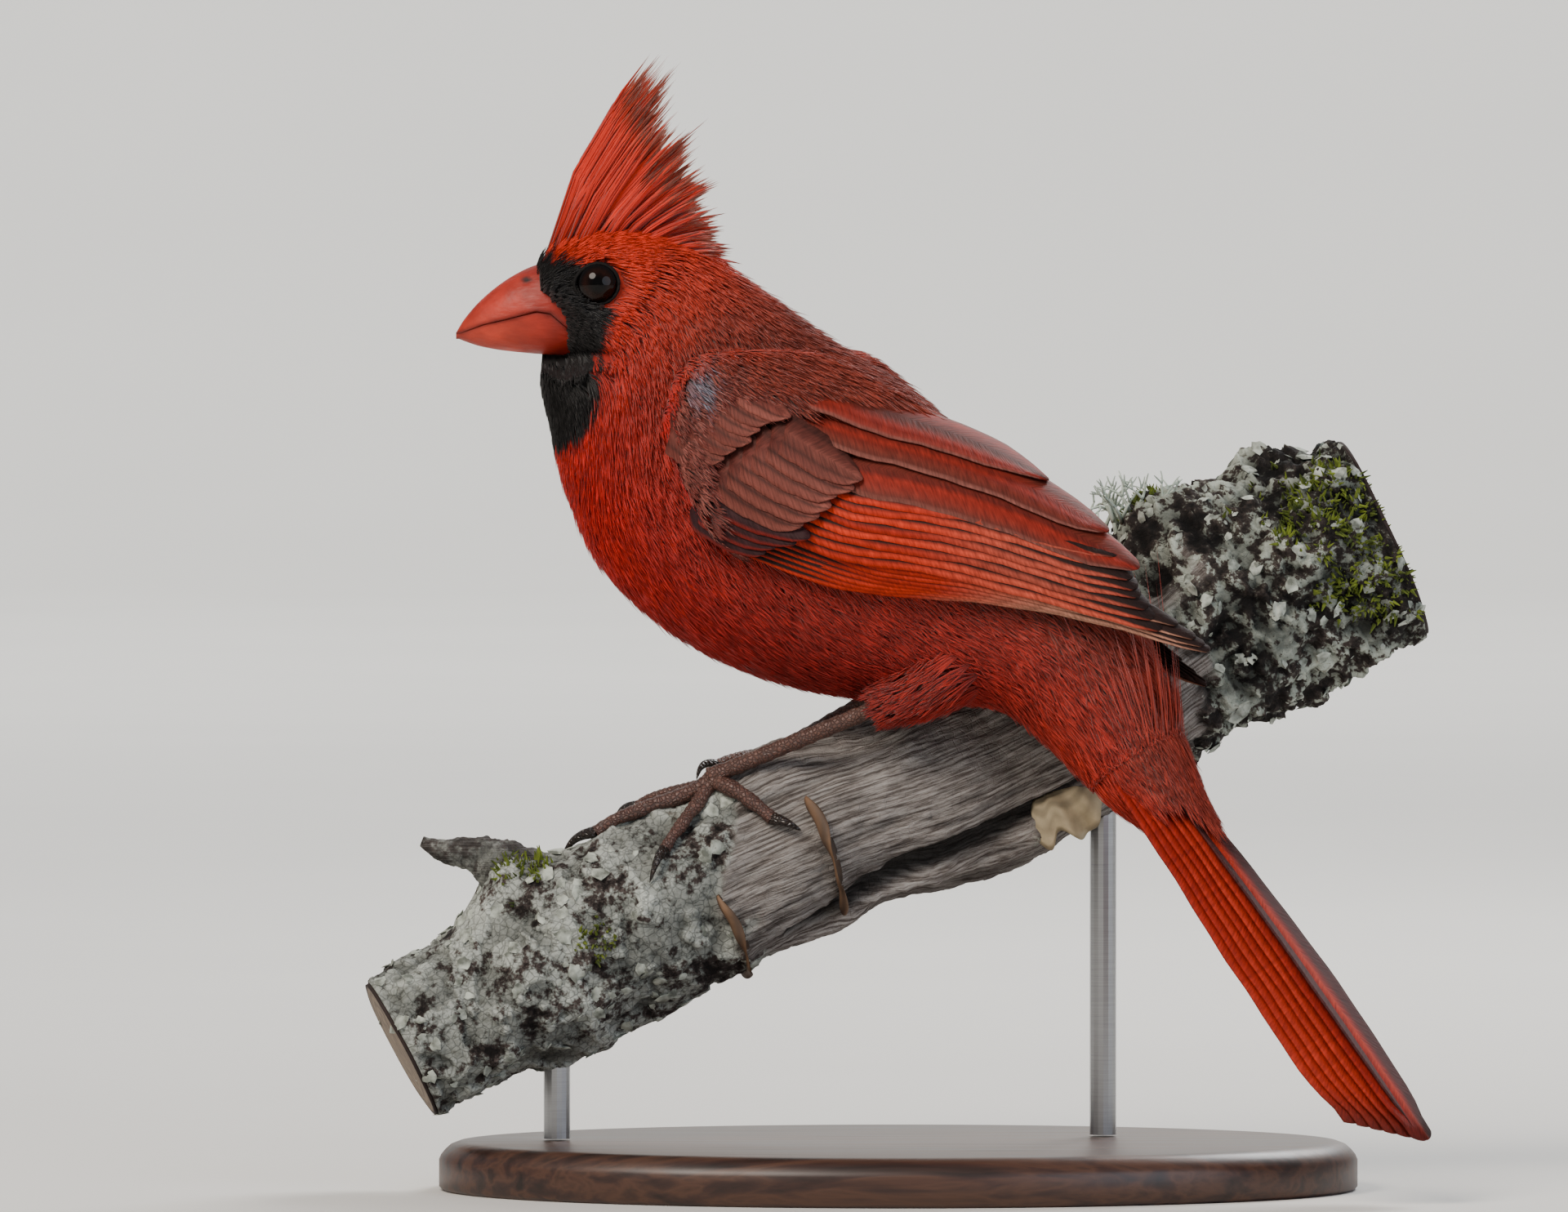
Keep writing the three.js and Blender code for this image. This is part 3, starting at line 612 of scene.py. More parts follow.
def sheet_faces(rows, columns):
    """Quads of a closed sheet: a top grid, a bottom grid after it, and the rim."""
    top = grid_faces(rows, columns)
    under = rows * columns
    rim = np.concatenate(
        [
            np.arange(columns - 1),
            np.arange(rows - 1) * columns + columns - 1,
            (rows - 1) * columns + np.arange(columns - 1, 0, -1),
            np.arange(rows - 1, 0, -1) * columns,
        ]
    )
    after = np.roll(rim, -1)
    wall = np.stack([after, rim, rim + under, after + under], axis=-1)
    return np.concatenate([top, top[:, ::-1] + under, wall])


class VaneSet:
    """Vanes gathered for one joined mesh, each with its own patch on the bake map."""

    def __init__(self, rows=VANE_ROWS, columns=VANE_ACROSS, patches=8):
        self.shape = (rows, columns)
        self.template = sheet_faces(rows, columns)
        self.patches = patches
        self.points, self.faces, self.tints, self.maps, self.bakes = [], [], [], [], []
        self.number = 0

    def add(self, top, bottom, tint, width, length):
        """Takes grids (rows, columns, 3) and the vane's size in millimetres."""
        both = np.concatenate([top.reshape(-1, 3), bottom.reshape(-1, 3)])
        faces = self.template
        if inside_out(both, faces):
            faces = faces[:, ::-1]
        self.faces.append(faces + self.number * len(both))
        self.points.append(both)
        self.tints.append(np.tile(tint.reshape(-1, 3), (2, 1)))
        v, u = np.meshgrid(
            np.linspace(0, 1, self.shape[0]), np.linspace(-1, 1, self.shape[1]), indexing="ij"
        )
        lay = np.stack([u * width / 2, v * length], axis=-1).reshape(-1, 2)
        self.maps.append(np.tile(lay, (2, 1)))
        cell = np.array([self.number % self.patches, self.number // self.patches])
        spot = (cell + 0.05 + 0.9 * np.stack([(u + 1) / 2, v], axis=-1).reshape(-1, 2)) / self.patches
        self.bakes.append(np.tile(spot, (2, 1)))
        self.number += 1

    def piece(self, name, material):
        return mesh_piece(
            name,
            np.concatenate(self.points),
            [np.concatenate(self.faces)],
            material,
            np.concatenate(self.tints),
            {"OFBake": np.concatenate(self.bakes), "vane": np.concatenate(self.maps)},
        )


def vane_material():
    """Flight feathers: close barbs that slant from the shaft, with a faint silky gloss."""
    made, tree, shader = new_material("flight feather vane")
    colour = add(tree, "ShaderNodeAttribute", attribute_name="tint")
    lay = add(tree, "ShaderNodeUVMap", uv_map="vane")
    parts = add(tree, "ShaderNodeSeparateXYZ", {"Vector": lay.outputs["UV"]})
    out = add(tree, "ShaderNodeMath", {0: parts.outputs["X"]}, operation="ABSOLUTE")
    slant = add(
        tree, "ShaderNodeMath", {0: out.outputs[0], 1: -0.9, 2: parts.outputs["Y"]}, operation="MULTIPLY_ADD"
    )
    stretched = add(tree, "ShaderNodeCombineXYZ", {"X": slant.outputs[0], "Y": parts.outputs["X"]})
    squeeze = add(
        tree, "ShaderNodeMapping", {"Vector": stretched.outputs["Vector"], "Scale": (1.0, 0.22, 1.0)}
    )
    # Real barbs are 0.1 mm apart. These are drawn about 0.5 mm apart so that they show.
    barbs = add(
        tree, "ShaderNodeTexNoise", {"Vector": squeeze.outputs["Vector"], "Scale": 2.0, "Detail": 3.0}
    )
    shade = add(
        tree, "ShaderNodeMapRange", {"Value": barbs.outputs["Fac"], "From Min": 0.25, "From Max": 0.75, "To Min": 0.55, "To Max": 1.4}
    )
    mixed = add(
        tree,
        "ShaderNodeMix",
        {0: 1.0, 6: colour.outputs["Color"], 7: shade.outputs["Result"]},
        data_type="RGBA",
        blend_type="MULTIPLY",
    )
    bump = add(
        tree, "ShaderNodeBump", {"Height": barbs.outputs["Fac"], "Strength": 0.5, "Distance": 0.0002}
    )
    tree.links.new(mixed.outputs[2], shader.inputs["Base Color"])
    tree.links.new(bump.outputs["Normal"], shader.inputs["Normal"])
    shader.inputs["Roughness"].default_value = 0.62
    shader.inputs["Specular IOR Level"].default_value = 0.14
    return made


VANES = vane_material()

# %% [markdown]
# The folded wing lies on a smooth shell round the back. A feather's place on it is given
# by the distance along the body and the angle up from the widest line. Tiers are laid
# from the lowest feather up: flight feathers, then the coverts that hide their roots.
# The lower edge of each feather rests on the feather below it, as in life.

# %% The folded wing's shell
SHELL_FROM = -35.0
SHELL_STEP = 20.0
FAR_DROOP = 6.0  # the far wing hangs a little lower and is hidden by the back
SHELL = np.array(
    [  # middle height, half height, half width
        [121.0, 32.0, 19.5],
        [112.0, 29.5, 23.6],
        [106.0, 24.8, 23.4],
        [100.5, 21.0, 19.0],
        [92.5, 15.5, 10.6],
        [83.5, 11.5, 4.6],
    ]
)


def on_shell(side, x, degrees, lift):
    z, high, wide = np.moveaxis(along(SHELL, (x - SHELL_FROM) / SHELL_STEP), -1, 0)
    droop = FAR_DROOP * smooth((x + 14) / 34) * (side > 0)
    z = z - droop
    x = x - 0.9 * droop * smooth((x - 5) / 40)
    cos, sin = np.cos(np.radians(degrees)), np.sin(np.radians(degrees))
    out = unit(np.stack([cos / wide, sin / high], axis=-1))
    y = side * (wide * cos + lift * out[..., 0])
    return on_body(np.stack([x + 0 * y, y, z + high * sin + lift * out[..., 1]], axis=-1))


def shell_radius(x, degrees):
    _, high, wide = np.moveaxis(along(SHELL, (x - SHELL_FROM) / SHELL_STEP), -1, 0)
    return np.hypot(wide * np.sin(np.radians(degrees)), high * np.cos(np.radians(degrees)))


def vane_outline(v, point):
    """Half width from root to tip: quickly full, then rounded or pointed."""
    return (0.4 + 0.6 * smooth(v / 0.3)) * np.sqrt(1 - np.minimum(v, 0.985) ** point)


# %% Colours of the wing
EDGE_RED = linear("#b62f16")
DEEP_RED = linear("#841c10")
BUFF = linear("#97705c")
DUSK = linear("#231512")
TERTIAL = linear("#56231a")
ROSE_GREY = linear("#764a42")
COVERT = linear("#4c201b")
COVERT_EDGE = linear("#754138")
PLUM = linear("#2f191b")


def striped(u, fine, seed):
    """Thin streaks along a vane, about 1 either side."""
    return 1 + 0.16 * np.sin(fine * u + 2 * np.sin(0.4 * fine * u + seed))


def flight_tint(u, v, shade, pale):
    """Outer web red with a thin pale edge, nearly black beside the next feather: the dusky inner web, with painted
    shade under the next feather's edge.
    """
    outer = blend(EDGE_RED, DEEP_RED, 0.4 + 0.4 * np.sin(3 * v + shade))
    outer = blend(outer, BUFF, pale * smooth((v - 0.4) / 0.35))
    # Painted shade and a dusky inner web: dark from just inside the outer web, where the feather above lies over this
    # one.
    colour = blend(outer, DUSK, smooth((u + 0.84) / 0.07))
    return blend(colour, DUSK, smooth((v - 0.95) / 0.05) * 0.7)


def tertial_tint(u, v, shade, pale):
    colour = blend(TERTIAL, DEEP_RED, 0.30 + 0.30 * np.sin(5 * u + shade))
    colour = blend(colour, DUSK, 0.7 * np.exp(-(((u + 0.1) / 0.1) ** 2)))
    colour = blend(colour, ROSE_GREY, smooth((np.abs(u) - 0.80) / 0.15) * 0.8)
    return colour * striped(u, 30, shade)[..., None]


def covert_tint(u, v, shade, pale):
    colour = blend(COVERT, COVERT_EDGE, 0.20 + 0.2 * np.sin(4 * u + shade) + 0.3 * v)
    rim = np.maximum(smooth((v - 0.88) / 0.1), smooth((-u - 0.8) / 0.12))
    colour = blend(colour, COVERT_EDGE * 1.2, 0.7 * rim)
    shaft = np.exp(-(((u + 0.46) / 0.07) ** 2))
    colour = blend(colour, DUSK, 0.8 * shaft + 0.6 * smooth((u - 0.3) / 0.4))
    return colour * striped(u, 44, shade)[..., None]


def plum_tint(u, v, shade, pale):
    return blend(PLUM, DEEP_RED, smooth((-u - 0.7) / 0.25) * 0.7)


# %% [markdown]
# Each tier is a short rule: how many feathers, where roots and tips lie, how wide they
# are, and how high they ride. Lengths differ a little from feather to feather.

# %% Tiers of the wing
def tier(number, make):
    return [make(i) for i in range(number)]


PRIMARY_TIPS = [51, 54.5, 57.5, 60, 62, 61.5, 59.5, 57]
PRIMARIES = tier(
    8,
    lambda i: dict(
        root=(-12 + i, -10 + 2.0 * i),
        tip=(PRIMARY_TIPS[i], 19 + 2.2 * i),
        wide=6.4,
        lift=(-0.4, 0.2 + 0.17 * i),
        tilt=1.1,
        curve=1.9,
        point=3,
        tint=flight_tint,
        pale=0.9,
    ),
)
SECONDARIES = tier(
    8,
    lambda i: dict(
        root=(-14 + 1.2 * i, 3 + 3.0 * i),
        tip=(55.0 - 1.2 * i, 26 + 3.9 * i),
        wide=8.2,
        lift=(0.0, 1.5 + 0.12 * i),
        tilt=1.4,
        curve=1.5,
        point=6,
        tint=flight_tint,
        pale=0.25,
    ),
)
TERTIAL_ENDS = [((-6, 30.5), (50, 55)), ((-10, 44), (44, 65)), ((-14, 54), (34, 70))]
TERTIALS = tier(
    3,
    lambda i: dict(
        root=TERTIAL_ENDS[i][0],
        tip=TERTIAL_ENDS[i][1],
        wide=10.5,
        lift=(0.0, 2.4 + 0.3 * i),
        tilt=1.3,
        curve=1.4,
        point=5,
        tint=tertial_tint,
    ),
)
PRIMARY_COVERTS = tier(
    4,
    lambda i: dict(
        root=(-27 + i, -6 + 3.0 * i),
        tip=(-9 + 3.0 * i, -7.5 + 3.2 * i),
        wide=5.0,
        lift=(-3.2, 2.2 + 0.25 * i),
        tilt=0.9,
        tint=plum_tint,
    ),
)
GREATER = tier(
    6,
    lambda i: dict(
        root=(-22 + 2.3 * i, 12.0 + 4.4 * i),
        tip=(-1.8 + 2.1 * i, 5.5 + 4.4 * i),
        wide=7.8,
        lift=(0.5, 3.0 + 0.06 * i),
        tilt=1.3,
        curve=1.2,
        point=4,
        loose=1.3,
        tint=covert_tint,
    ),
)
MEDIAN = tier(
    7,
    lambda i: dict(
        root=(-29.5 + 1.8 * i, 13 + 4.7 * i),
        tip=(-18.5 + 2.1 * i, 11 + 4.5 * i),
        wide=6.4,
        lift=(-2.6, 3.5),
        tilt=1.0,
        point=4,
        loose=1.2,
        tint=covert_tint,
    ),
)


def wing_vane(vanes, side, f):
    """One feather laid on the shell."""
    rows = vanes.shape[0]
    v = np.linspace(0, 1, rows)[:, None]
    u = np.linspace(-1, 1, vanes.shape[1])[None, :]
    seed = rng.uniform(0, 6)
    (x0, a0), (x1, a1) = f["root"], f["tip"]
    x1 = x1 + f.get("loose", 0.5) * rng.uniform(-1, 1)
    x = x0 + (x1 - x0) * v + 0 * u
    middle = a0 + (a1 - a0) * v ** f.get("curve", 1)
    half = f["wide"] / 2 * vane_outline(v, f.get("point", 4))
    half = half * (1 + 0.03 * np.sin(19 * v + seed) + 0.02 * np.sin(43 * v + 2 * seed))
    degrees = middle + np.degrees(u * half / shell_radius(x, middle))
    low, high = f["lift"]
    lift = low + (high - low) * smooth(v / 0.3) - u * f["tilt"] / 2
    lift = lift + 0.25 * (1 - u**2) + 0.12 * np.exp(-((u + 0.55) / 0.12) ** 2)
    # The outer corners lie a little farther back, so the vane's barbs sweep to its tip.
    top = on_shell(side, x - 0.10 * f["wide"] * u**2, degrees, lift)
    bottom = on_shell(side, x - 0.10 * f["wide"] * u**2, degrees, lift - VANE_THICK)
    tint = f["tint"](u + 0 * v, v + 0 * u, seed, f.get("pale", 0)) * rng.uniform(0.85, 1.15)
    length = np.linalg.norm(top[-1, 0] - top[0, 0])
    vanes.add(top, bottom, tint, f["wide"], length)


def wing(name, side):
    vanes = VaneSet(patches=7)
    for feathers in (PRIMARIES, SECONDARIES, TERTIALS, PRIMARY_COVERTS, GREATER, MEDIAN):
        for f in feathers:
            wing_vane(vanes, side, f)
    return keep(vanes.piece(name, VANES), "wing_plumage", name)


wing("wing_left", -1)
wing("wing_right", 1)

# %% [markdown]
# The lesser coverts over the bend of the wing and the scapulars over its upper edge are
# soft and loose, so they are fans of barbs as on the body, laid on the wing's shell. They
# sink into the body's coat at their edges, which hides where the wing begins.

# %% Lesser coverts and scapulars
LESSER = linear("#662820")
LESSER_PALE = linear("#884a40")
SCAPULAR = linear("#84301f")
# A painted highlight: the sky's bluish reflection on the feathers at the bend of the wing.
PAINTED_SKY_HIGHLIGHT = linear("#8f9cae")
# Where the soft feathers begin and end on the shell: angle, first x, last x.
SHOULDER = np.array(
    [
        [-14, -22, -16],
        [-3, -27, -18],
        [6, -31, -20],
        [17, -32, -21.5],
        [28, -31, -20],
        [42, -28, -11],
        [57, -22, 0],
        [72, -16, 8],
        [88, -11, 12],
    ]
)


def shoulder_edge(degrees, column):
    return np.interp(degrees, SHOULDER[:, 0], SHOULDER[:, column])


def shoulder_lift(x, degrees):
    """Height of the soft feathers over the shell."""
    ramp = 11 + 0.18 * np.maximum(degrees - 35, 0)
    front = smooth((x - shoulder_edge(degrees, 1) + 3) / ramp)
    upper = smooth((92 - degrees) / 24)
    lower = smooth((degrees + 20) / 14)
    sink = 1.7 * smooth((x - shoulder_edge(degrees, 2)) / 8)
    return -2.2 + 6.7 * front * upper * lower - sink


def shoulder_surface(side):
    def place(x, angle, depth):
        degrees = np.degrees(angle)
        return on_shell(side, x, degrees, shoulder_lift(x, degrees) - depth)

    return place


def shoulder_roots():
    """Roots over the bend of the wing and along its upper edge."""
    x, degrees = np.meshgrid(np.arange(-40, 12, 1.7), np.arange(-14, 88, 3.3), indexing="ij")
    x = x.ravel() + rng.uniform(-0.8, 0.8, x.size)
    degrees = degrees.ravel() + rng.uniform(-1.6, 1.6, x.size)
    shown = (x > shoulder_edge(degrees, 1)) & (x < shoulder_edge(degrees, 2))
    return x[shown], np.radians(degrees[shown])


def shoulder_colour(x, angle):
    degrees = np.degrees(angle)
    streak = 0.5 + 0.5 * np.sin(1.7 * x + 0.21 * degrees + np.sin(0.5 * x))
    lesser = blend(LESSER, LESSER_PALE, streak * smooth((x + 36) / 12))
    upper = blend(SCAPULAR, MANTLE, streak)
    colour = blend(lesser, upper, (degrees - 34) / 14)
    inward = x - shoulder_edge(degrees, 1)
    colour = blend(blend(BREAST, NAPE, (degrees - 20) / 20), colour, (inward - 0.5) / 3.5)
    # The pale blue-grey spot at the bend of the wing is a painted highlight, the sky's reflection on the feathers.
    spot = np.exp(-(((x + 24.5) / 1.6) ** 2) - ((degrees - 33) / 4.5) ** 2)
    return blend(colour, PAINTED_SKY_HIGHLIGHT, 0.9 * spot)


def shoulder(name, side):
    x, angle = shoulder_roots()
    length = np.interp(np.degrees(angle), [0, 40, 60], [5.5, 7.5, 9.5])
    spot = np.stack([0.04 + 0.9 * (x + 42) / 56, 0.04 + 0.9 * (angle + 0.3) / 1.9], axis=-1)
    width = np.full(len(x), 0.36)
    coat = Feathers(shoulder_surface(side), x, angle, length, 14 + 0 * x, width, shoulder_colour(x, angle), spot)
    coat.lie = np.full(len(x), -0.14)
    coat.fan = 0.34
    return coat.piece(name)


shoulder("coat_shoulder_left", -1)
shoulder("coat_shoulder_right", 1)

# %% [markdown]
# The tail hangs as a narrow stack of twelve long feathers. The middle pair lies on top and
# each outer pair steps down and out beneath it, so its red edges show side by side.

# %% Tail
TAIL_ROOT = np.array([36.5, 0.0, 86.5])
TAIL_FALL = math.radians(50.6)
TAIL_LENGTH = 98.0
TAIL_WIDE = 11.5
TAIL_RED = linear("#9c2a18")
TAIL_DARK = linear("#43201f")


def tail_tint(u, v, pair):
    """Red outer web and shaft, dusky inner web, a worn brown tip."""
    red = blend(TAIL_RED, DEEP_RED, 0.5 + 0.5 * np.sin(4 * v + pair))
    colour = blend(red, TAIL_DARK, smooth((-u - 0.15) / 0.3))
    shaft = np.exp(-((u / 0.09) ** 2))
    colour = blend(colour, NAPE, shaft * 0.8)
    return blend(colour, DUSK, smooth((v - 0.9) / 0.1) * 0.7)


def tail_vane(vanes, side, pair):
    v = np.linspace(0, 1, vanes.shape[0])[:, None]
    u = np.linspace(-1, 1, vanes.shape[1])[None, :]
    ahead = np.array([math.cos(TAIL_FALL), 0, -math.sin(TAIL_FALL)])
    up = np.array([math.sin(TAIL_FALL), 0, math.cos(TAIL_FALL)])
    length = TAIL_LENGTH - 1.6 * pair - (0.8 if side > 0 else 0)
    drop = 0.95 * pair + (0.45 if side > 0 else 0)
    roll = math.radians(8 + 3.5 * pair)
    seed = rng.uniform(0, 6)
    half = TAIL_WIDE / 2 * (0.45 + 0.55 * smooth(v / 0.7)) * np.sqrt(1 - np.minimum(v, 0.975) ** 14)
    half = half * (1 + 0.02 * np.sin(23 * v + seed) + 0.015 * np.sin(51 * v + seed))
    middle = TAIL_ROOT + length * v[..., None] * ahead
    height = -drop * (0.7 + 0.3 * v) + 1.4 * np.sin(np.pi * v)
    shift = side * (0.8 + 1.25 * pair) * (0.55 + 0.45 * v)
    reach = u * half
    tall = height - reach * math.sin(roll) * 1.0 - 0.25 * np.abs(u) + 0.16 * np.exp(-((u / 0.1) ** 2))
    across = shift + side * reach * math.cos(roll)
    sweep_back = -0.12 * TAIL_WIDE * u**2 * smooth(v / 0.3)
    top = middle + tall[..., None] * up + across[..., None] * np.array([0, 1, 0]) + sweep_back[..., None] * ahead
    bottom = top - 0.3 * up
    vanes.add(on_body(top), on_body(bottom), tail_tint(u + 0 * v, v + 0 * u, seed), TAIL_WIDE, length)


def tail():
    vanes = VaneSet(rows=34, patches=4)
    for pair in range(6):
        for side in (-1, 1):
            tail_vane(vanes, side, pair)
    return keep(vanes.piece("tail_feathers", VANES), "tail_plumage", "tail")


tail()

# %% [markdown]
# The last small feathers are the coverts above and below the tail's root. They lie on a
# sleeve round the tail that narrows towards its end, so the tail comes out from under them.

# %% Tail coverts
SLEEVE = np.array([[12, 9.6, 8.6], [20, 8.8, 8.2], [30, 5.6, 6.8], [44, 3.2, 6.0], [60, 2.2, 5.6]])  # along, tall, wide


def tail_sleeve(x, angle, depth):
    tall = np.interp(x, SLEEVE[:, 0], SLEEVE[:, 1]) - depth
    wide = np.interp(x, SLEEVE[:, 0], SLEEVE[:, 2]) - depth
    ahead = np.array([math.cos(TAIL_FALL), 0, -math.sin(TAIL_FALL)])
    up = np.array([math.sin(TAIL_FALL), 0, math.cos(TAIL_FALL)])
    sink = -1.6 + 0 * x
    p = TAIL_ROOT + x[..., None] * ahead + (sink + tall * np.cos(angle))[..., None] * up
    return on_body(p + (wide * np.sin(angle))[..., None] * np.array([0.0, 1.0, 0.0]))


def tail_coverts():
    x, angle = np.meshgrid(np.arange(12, 30, 2.1), np.linspace(-np.pi, np.pi, 26, endpoint=False), indexing="ij")
    x = x.ravel() + rng.uniform(-1, 1, x.size)
    angle = angle.ravel() + rng.uniform(-0.12, 0.12, x.size)
    reach = 22 + 7 * np.cos(angle) ** 2
    x, angle = x[x < reach], angle[x < reach]
    length = np.interp(np.abs(angle), [0, 1.2, np.pi], [11, 9, 14])
    upper = blend(RUMP, MANTLE, 0.3 + 0.3 * np.sin(3 * x))
    colour = blend(upper, VENT, (np.abs(angle) - 1.3) / 0.5)
    spot = np.stack([0.1 + 0.8 * (angle / (2 * np.pi) + 0.5), 0.1 + 0.8 * (x - 11) / 22], axis=-1)
    coat = Feathers(tail_sleeve, x, angle, length, 17 + 0 * x, np.full(len(x), 0.4), colour, spot)
    coat.fan = 0.2
    coat.ruffle = 0.55 * coat.ruffle
    return coat.piece("coat_tail")


tail_coverts()

# %% [markdown]
# The crest is raised. Its feathers are narrow and loose, so each is a lock of long barbs
# that leaves the crown steeply and bends back. The front ones are the longest. Their worn
# ends are orange-brown.

# %% Crest
CREST_TABLE = np.array(
    [  # share of the way back, length, rise at the root, rise at the tip
        [0.00, 40.5, 74, 61],
        [0.08, 38.0, 71, 60],
        [0.20, 32.0, 67, 58],
        [0.34, 26.5, 63, 54],
        [0.46, 23.5, 57, 47],
        [0.58, 20.0, 49, 38],
        [0.70, 16.0, 40, 28],
        [0.82, 13.5, 24, 12],
        [1.00, 11.5, 8, 0],
    ]
)
CREST_LOCKS = 640
CREST_BARBS = 10
CREST_ROOT = linear("#7c140a")
CREST_RED = linear("#c4280f")
CREST_END = linear("#8a4420")


def crest_roots(share, across):
    """Roots on the crown from the forehead back."""
    x = -58.6 + 19.5 * share + 1.0 * np.abs(across)
    y = 4.6 * across * (0.5 + 0.5 * smooth(share * 3))
    z = 154.8 + 1.6 * np.sin(np.pi * share) - 1.5 * across**2
    return np.stack([x, y, z], axis=-1)


def crest():
    share = rng.uniform(0, 1, CREST_LOCKS) ** 0.95
    across = np.clip(rng.normal(0, 0.48, CREST_LOCKS), -1, 1)
    length, rise0, rise1 = (np.interp(share, CREST_TABLE[:, 0], CREST_TABLE[:, k]) for k in (1, 2, 3))
    length = length * (1 - 0.14 * np.abs(across)) * (1 - 0.26 * rng.uniform(0, 1, CREST_LOCKS) ** 1.6)
    # Locks cling together in bundles of unlike length, so the rear edge is ragged.
    bundle = np.sin(34 * share + 2 * across) + 0.6 * np.sin(71 * share + 1)
    length = length * (1 + 0.085 * bundle * smooth(share / 0.15))
    lean = rng.normal(0, 1.3, CREST_LOCKS) + 2.2 * np.cos(34 * share + 2 * across)
    # A few wisps stand away from the rear edge.
    wisp = (rng.uniform(0, 1, CREST_LOCKS) < 0.035) & (share > 0.25)
    lean = lean - 8 * wisp
    length = length * (1 + 0.10 * wisp)
    barb = np.repeat(np.arange(CREST_LOCKS), CREST_BARBS)
    spread = np.tile(np.linspace(-1, 1, CREST_BARBS), CREST_LOCKS)
    n = len(barb)
    reach = length[barb] * (1 - 0.16 * spread**2) * rng.uniform(0.88, 1.0, n)
    steps = np.append(BARB_STEPS, 1.0)
    rise = rise0[barb, None] + (rise1 - rise0)[barb, None] * steps + lean[barb, None]
    rise = np.radians(rise + 3.5 * spread[:, None] * (1 - steps))
    root = crest_roots(share, across)[barb]
    forward = reach[:, None] * steps * np.cos(rise)
    upward = reach[:, None] * steps * np.sin(rise)
    close = 1 - 0.45 * steps * smooth(reach[:, None] / 20)
    sideways = root[:, 1:2] * close + 0.4 * spread[:, None] * steps * rng.choice([-1, 1], (n, 1))
    centres = on_head(np.stack([root[:, :1] + forward, sideways, root[:, 2:] + upward], axis=-1))
    outward = np.where(root[:, 1] < 0, -1.0, 1.0)[:, None] * np.ones((1, 3))
    normals = unit(np.stack([-0.25 + 0 * outward, outward, 0.25 + 0 * outward], axis=-1))
    # The locks are darker at their roots: duskier feather bases, and painted shade where the locks crowd on the crown.
    colour = np.stack([blend(CREST_ROOT, CREST_RED, np.full(n, k)) for k in (0.2, 0.85, 1.0)], axis=1)
    bright = rng.uniform(0.75, 1.2, CREST_LOCKS)[barb, None] * rng.uniform(0.85, 1.15, (n, 1))
    width = rng.uniform(0.34, 0.52, n)
    unwrap = np.stack([0.1 + 0.8 * share, 0.5 + 0.3 * across], axis=-1)[barb]
    points, quads, ends, tint, uv = barb_mesh(
        centres[:, :3], centres[:, 3], normals, width, colour * bright[:, None], CREST_END * bright, unwrap
    )
    piece = mesh_piece("crest_feathers", points, [quads, ends], COAT, tint, {"OFBake": uv})
    return keep(piece, "red_plumage", "crest")


crest()

# %% Tubes
def tube_rings(path, radii, sides=12):
    """Rings (n, sides, 3) round a path."""
    path = np.asarray(path, float)
    ahead = unit(np.gradient(path, axis=0))
    side = unit(np.cross(np.array([0.0, 0.0, 1.0]), ahead) + np.array([1e-6, 0, 0]))
    up = np.cross(ahead, side)
    angle = np.linspace(0, 2 * np.pi, sides, endpoint=False)
    radii = np.asarray(radii, float)[:, None, None]
    ring = side[:, None] * np.cos(angle)[None, :, None] + up[:, None] * np.sin(angle)[None, :, None]
    return path[:, None] + radii * ring


def joined_tubes(name, tubes, material):
    """One mesh from several tubes, each a (rings, sides, 3) array."""
    points, quads, ends, count = [], [], [], 0
    for rings in tubes:
        walls, fans = tube_faces(rings.shape[0], rings.shape[1])
        body = tube_points(rings)
        if inside_out(body, walls):
            walls, fans = walls[:, ::-1], fans[:, ::-1]
        points.append(body)
        quads.append(walls + count)
        ends.append(fans + count)
        count += len(body)
    return mesh_piece(name, np.concatenate(points), [np.concatenate(quads), np.concatenate(ends)], material)


# %% [markdown]
# The bill is a short, deep cone of horn. Both halves start from one cone whose slices are
# pushed flat along the line of the mouth, so they meet there and nowhere else. The upper
# half overhangs a little, and a small pit near its root is the nostril.

# %% Bill
BILL = np.array(
    [  # x, top, bottom, half width
        [-73.4, 141.5, 140.7, 0.4],
        [-72.0, 143.8, 140.1, 1.7],
        [-69.6, 146.6, 139.3, 3.1],
        [-66.6, 149.2, 138.7, 4.4],
        [-63.4, 151.3, 138.3, 5.4],
        [-60.0, 152.8, 138.0, 6.1],
        [-56.0, 153.4, 137.8, 6.3],
        [-53.0, 152.8, 138.0, 5.8],
    ]
)
MOUTH = np.array(
    [[-80, 141.4], [-72.6, 141.6], [-68.8, 143.0], [-64.5, 144.0], [-60.0, 145.2], [-57.6, 144.8], [-54.8, 142.4], [-50, 141.4]]
)
MOUTH_GAP = 0.22
NOSTRIL = np.array([-61.6, 4.2, 150.3])
HORN_RED = linear("#a52510")
HORN_DEEP = linear("#74150a")
HORN_PALE = linear("#b03c24")


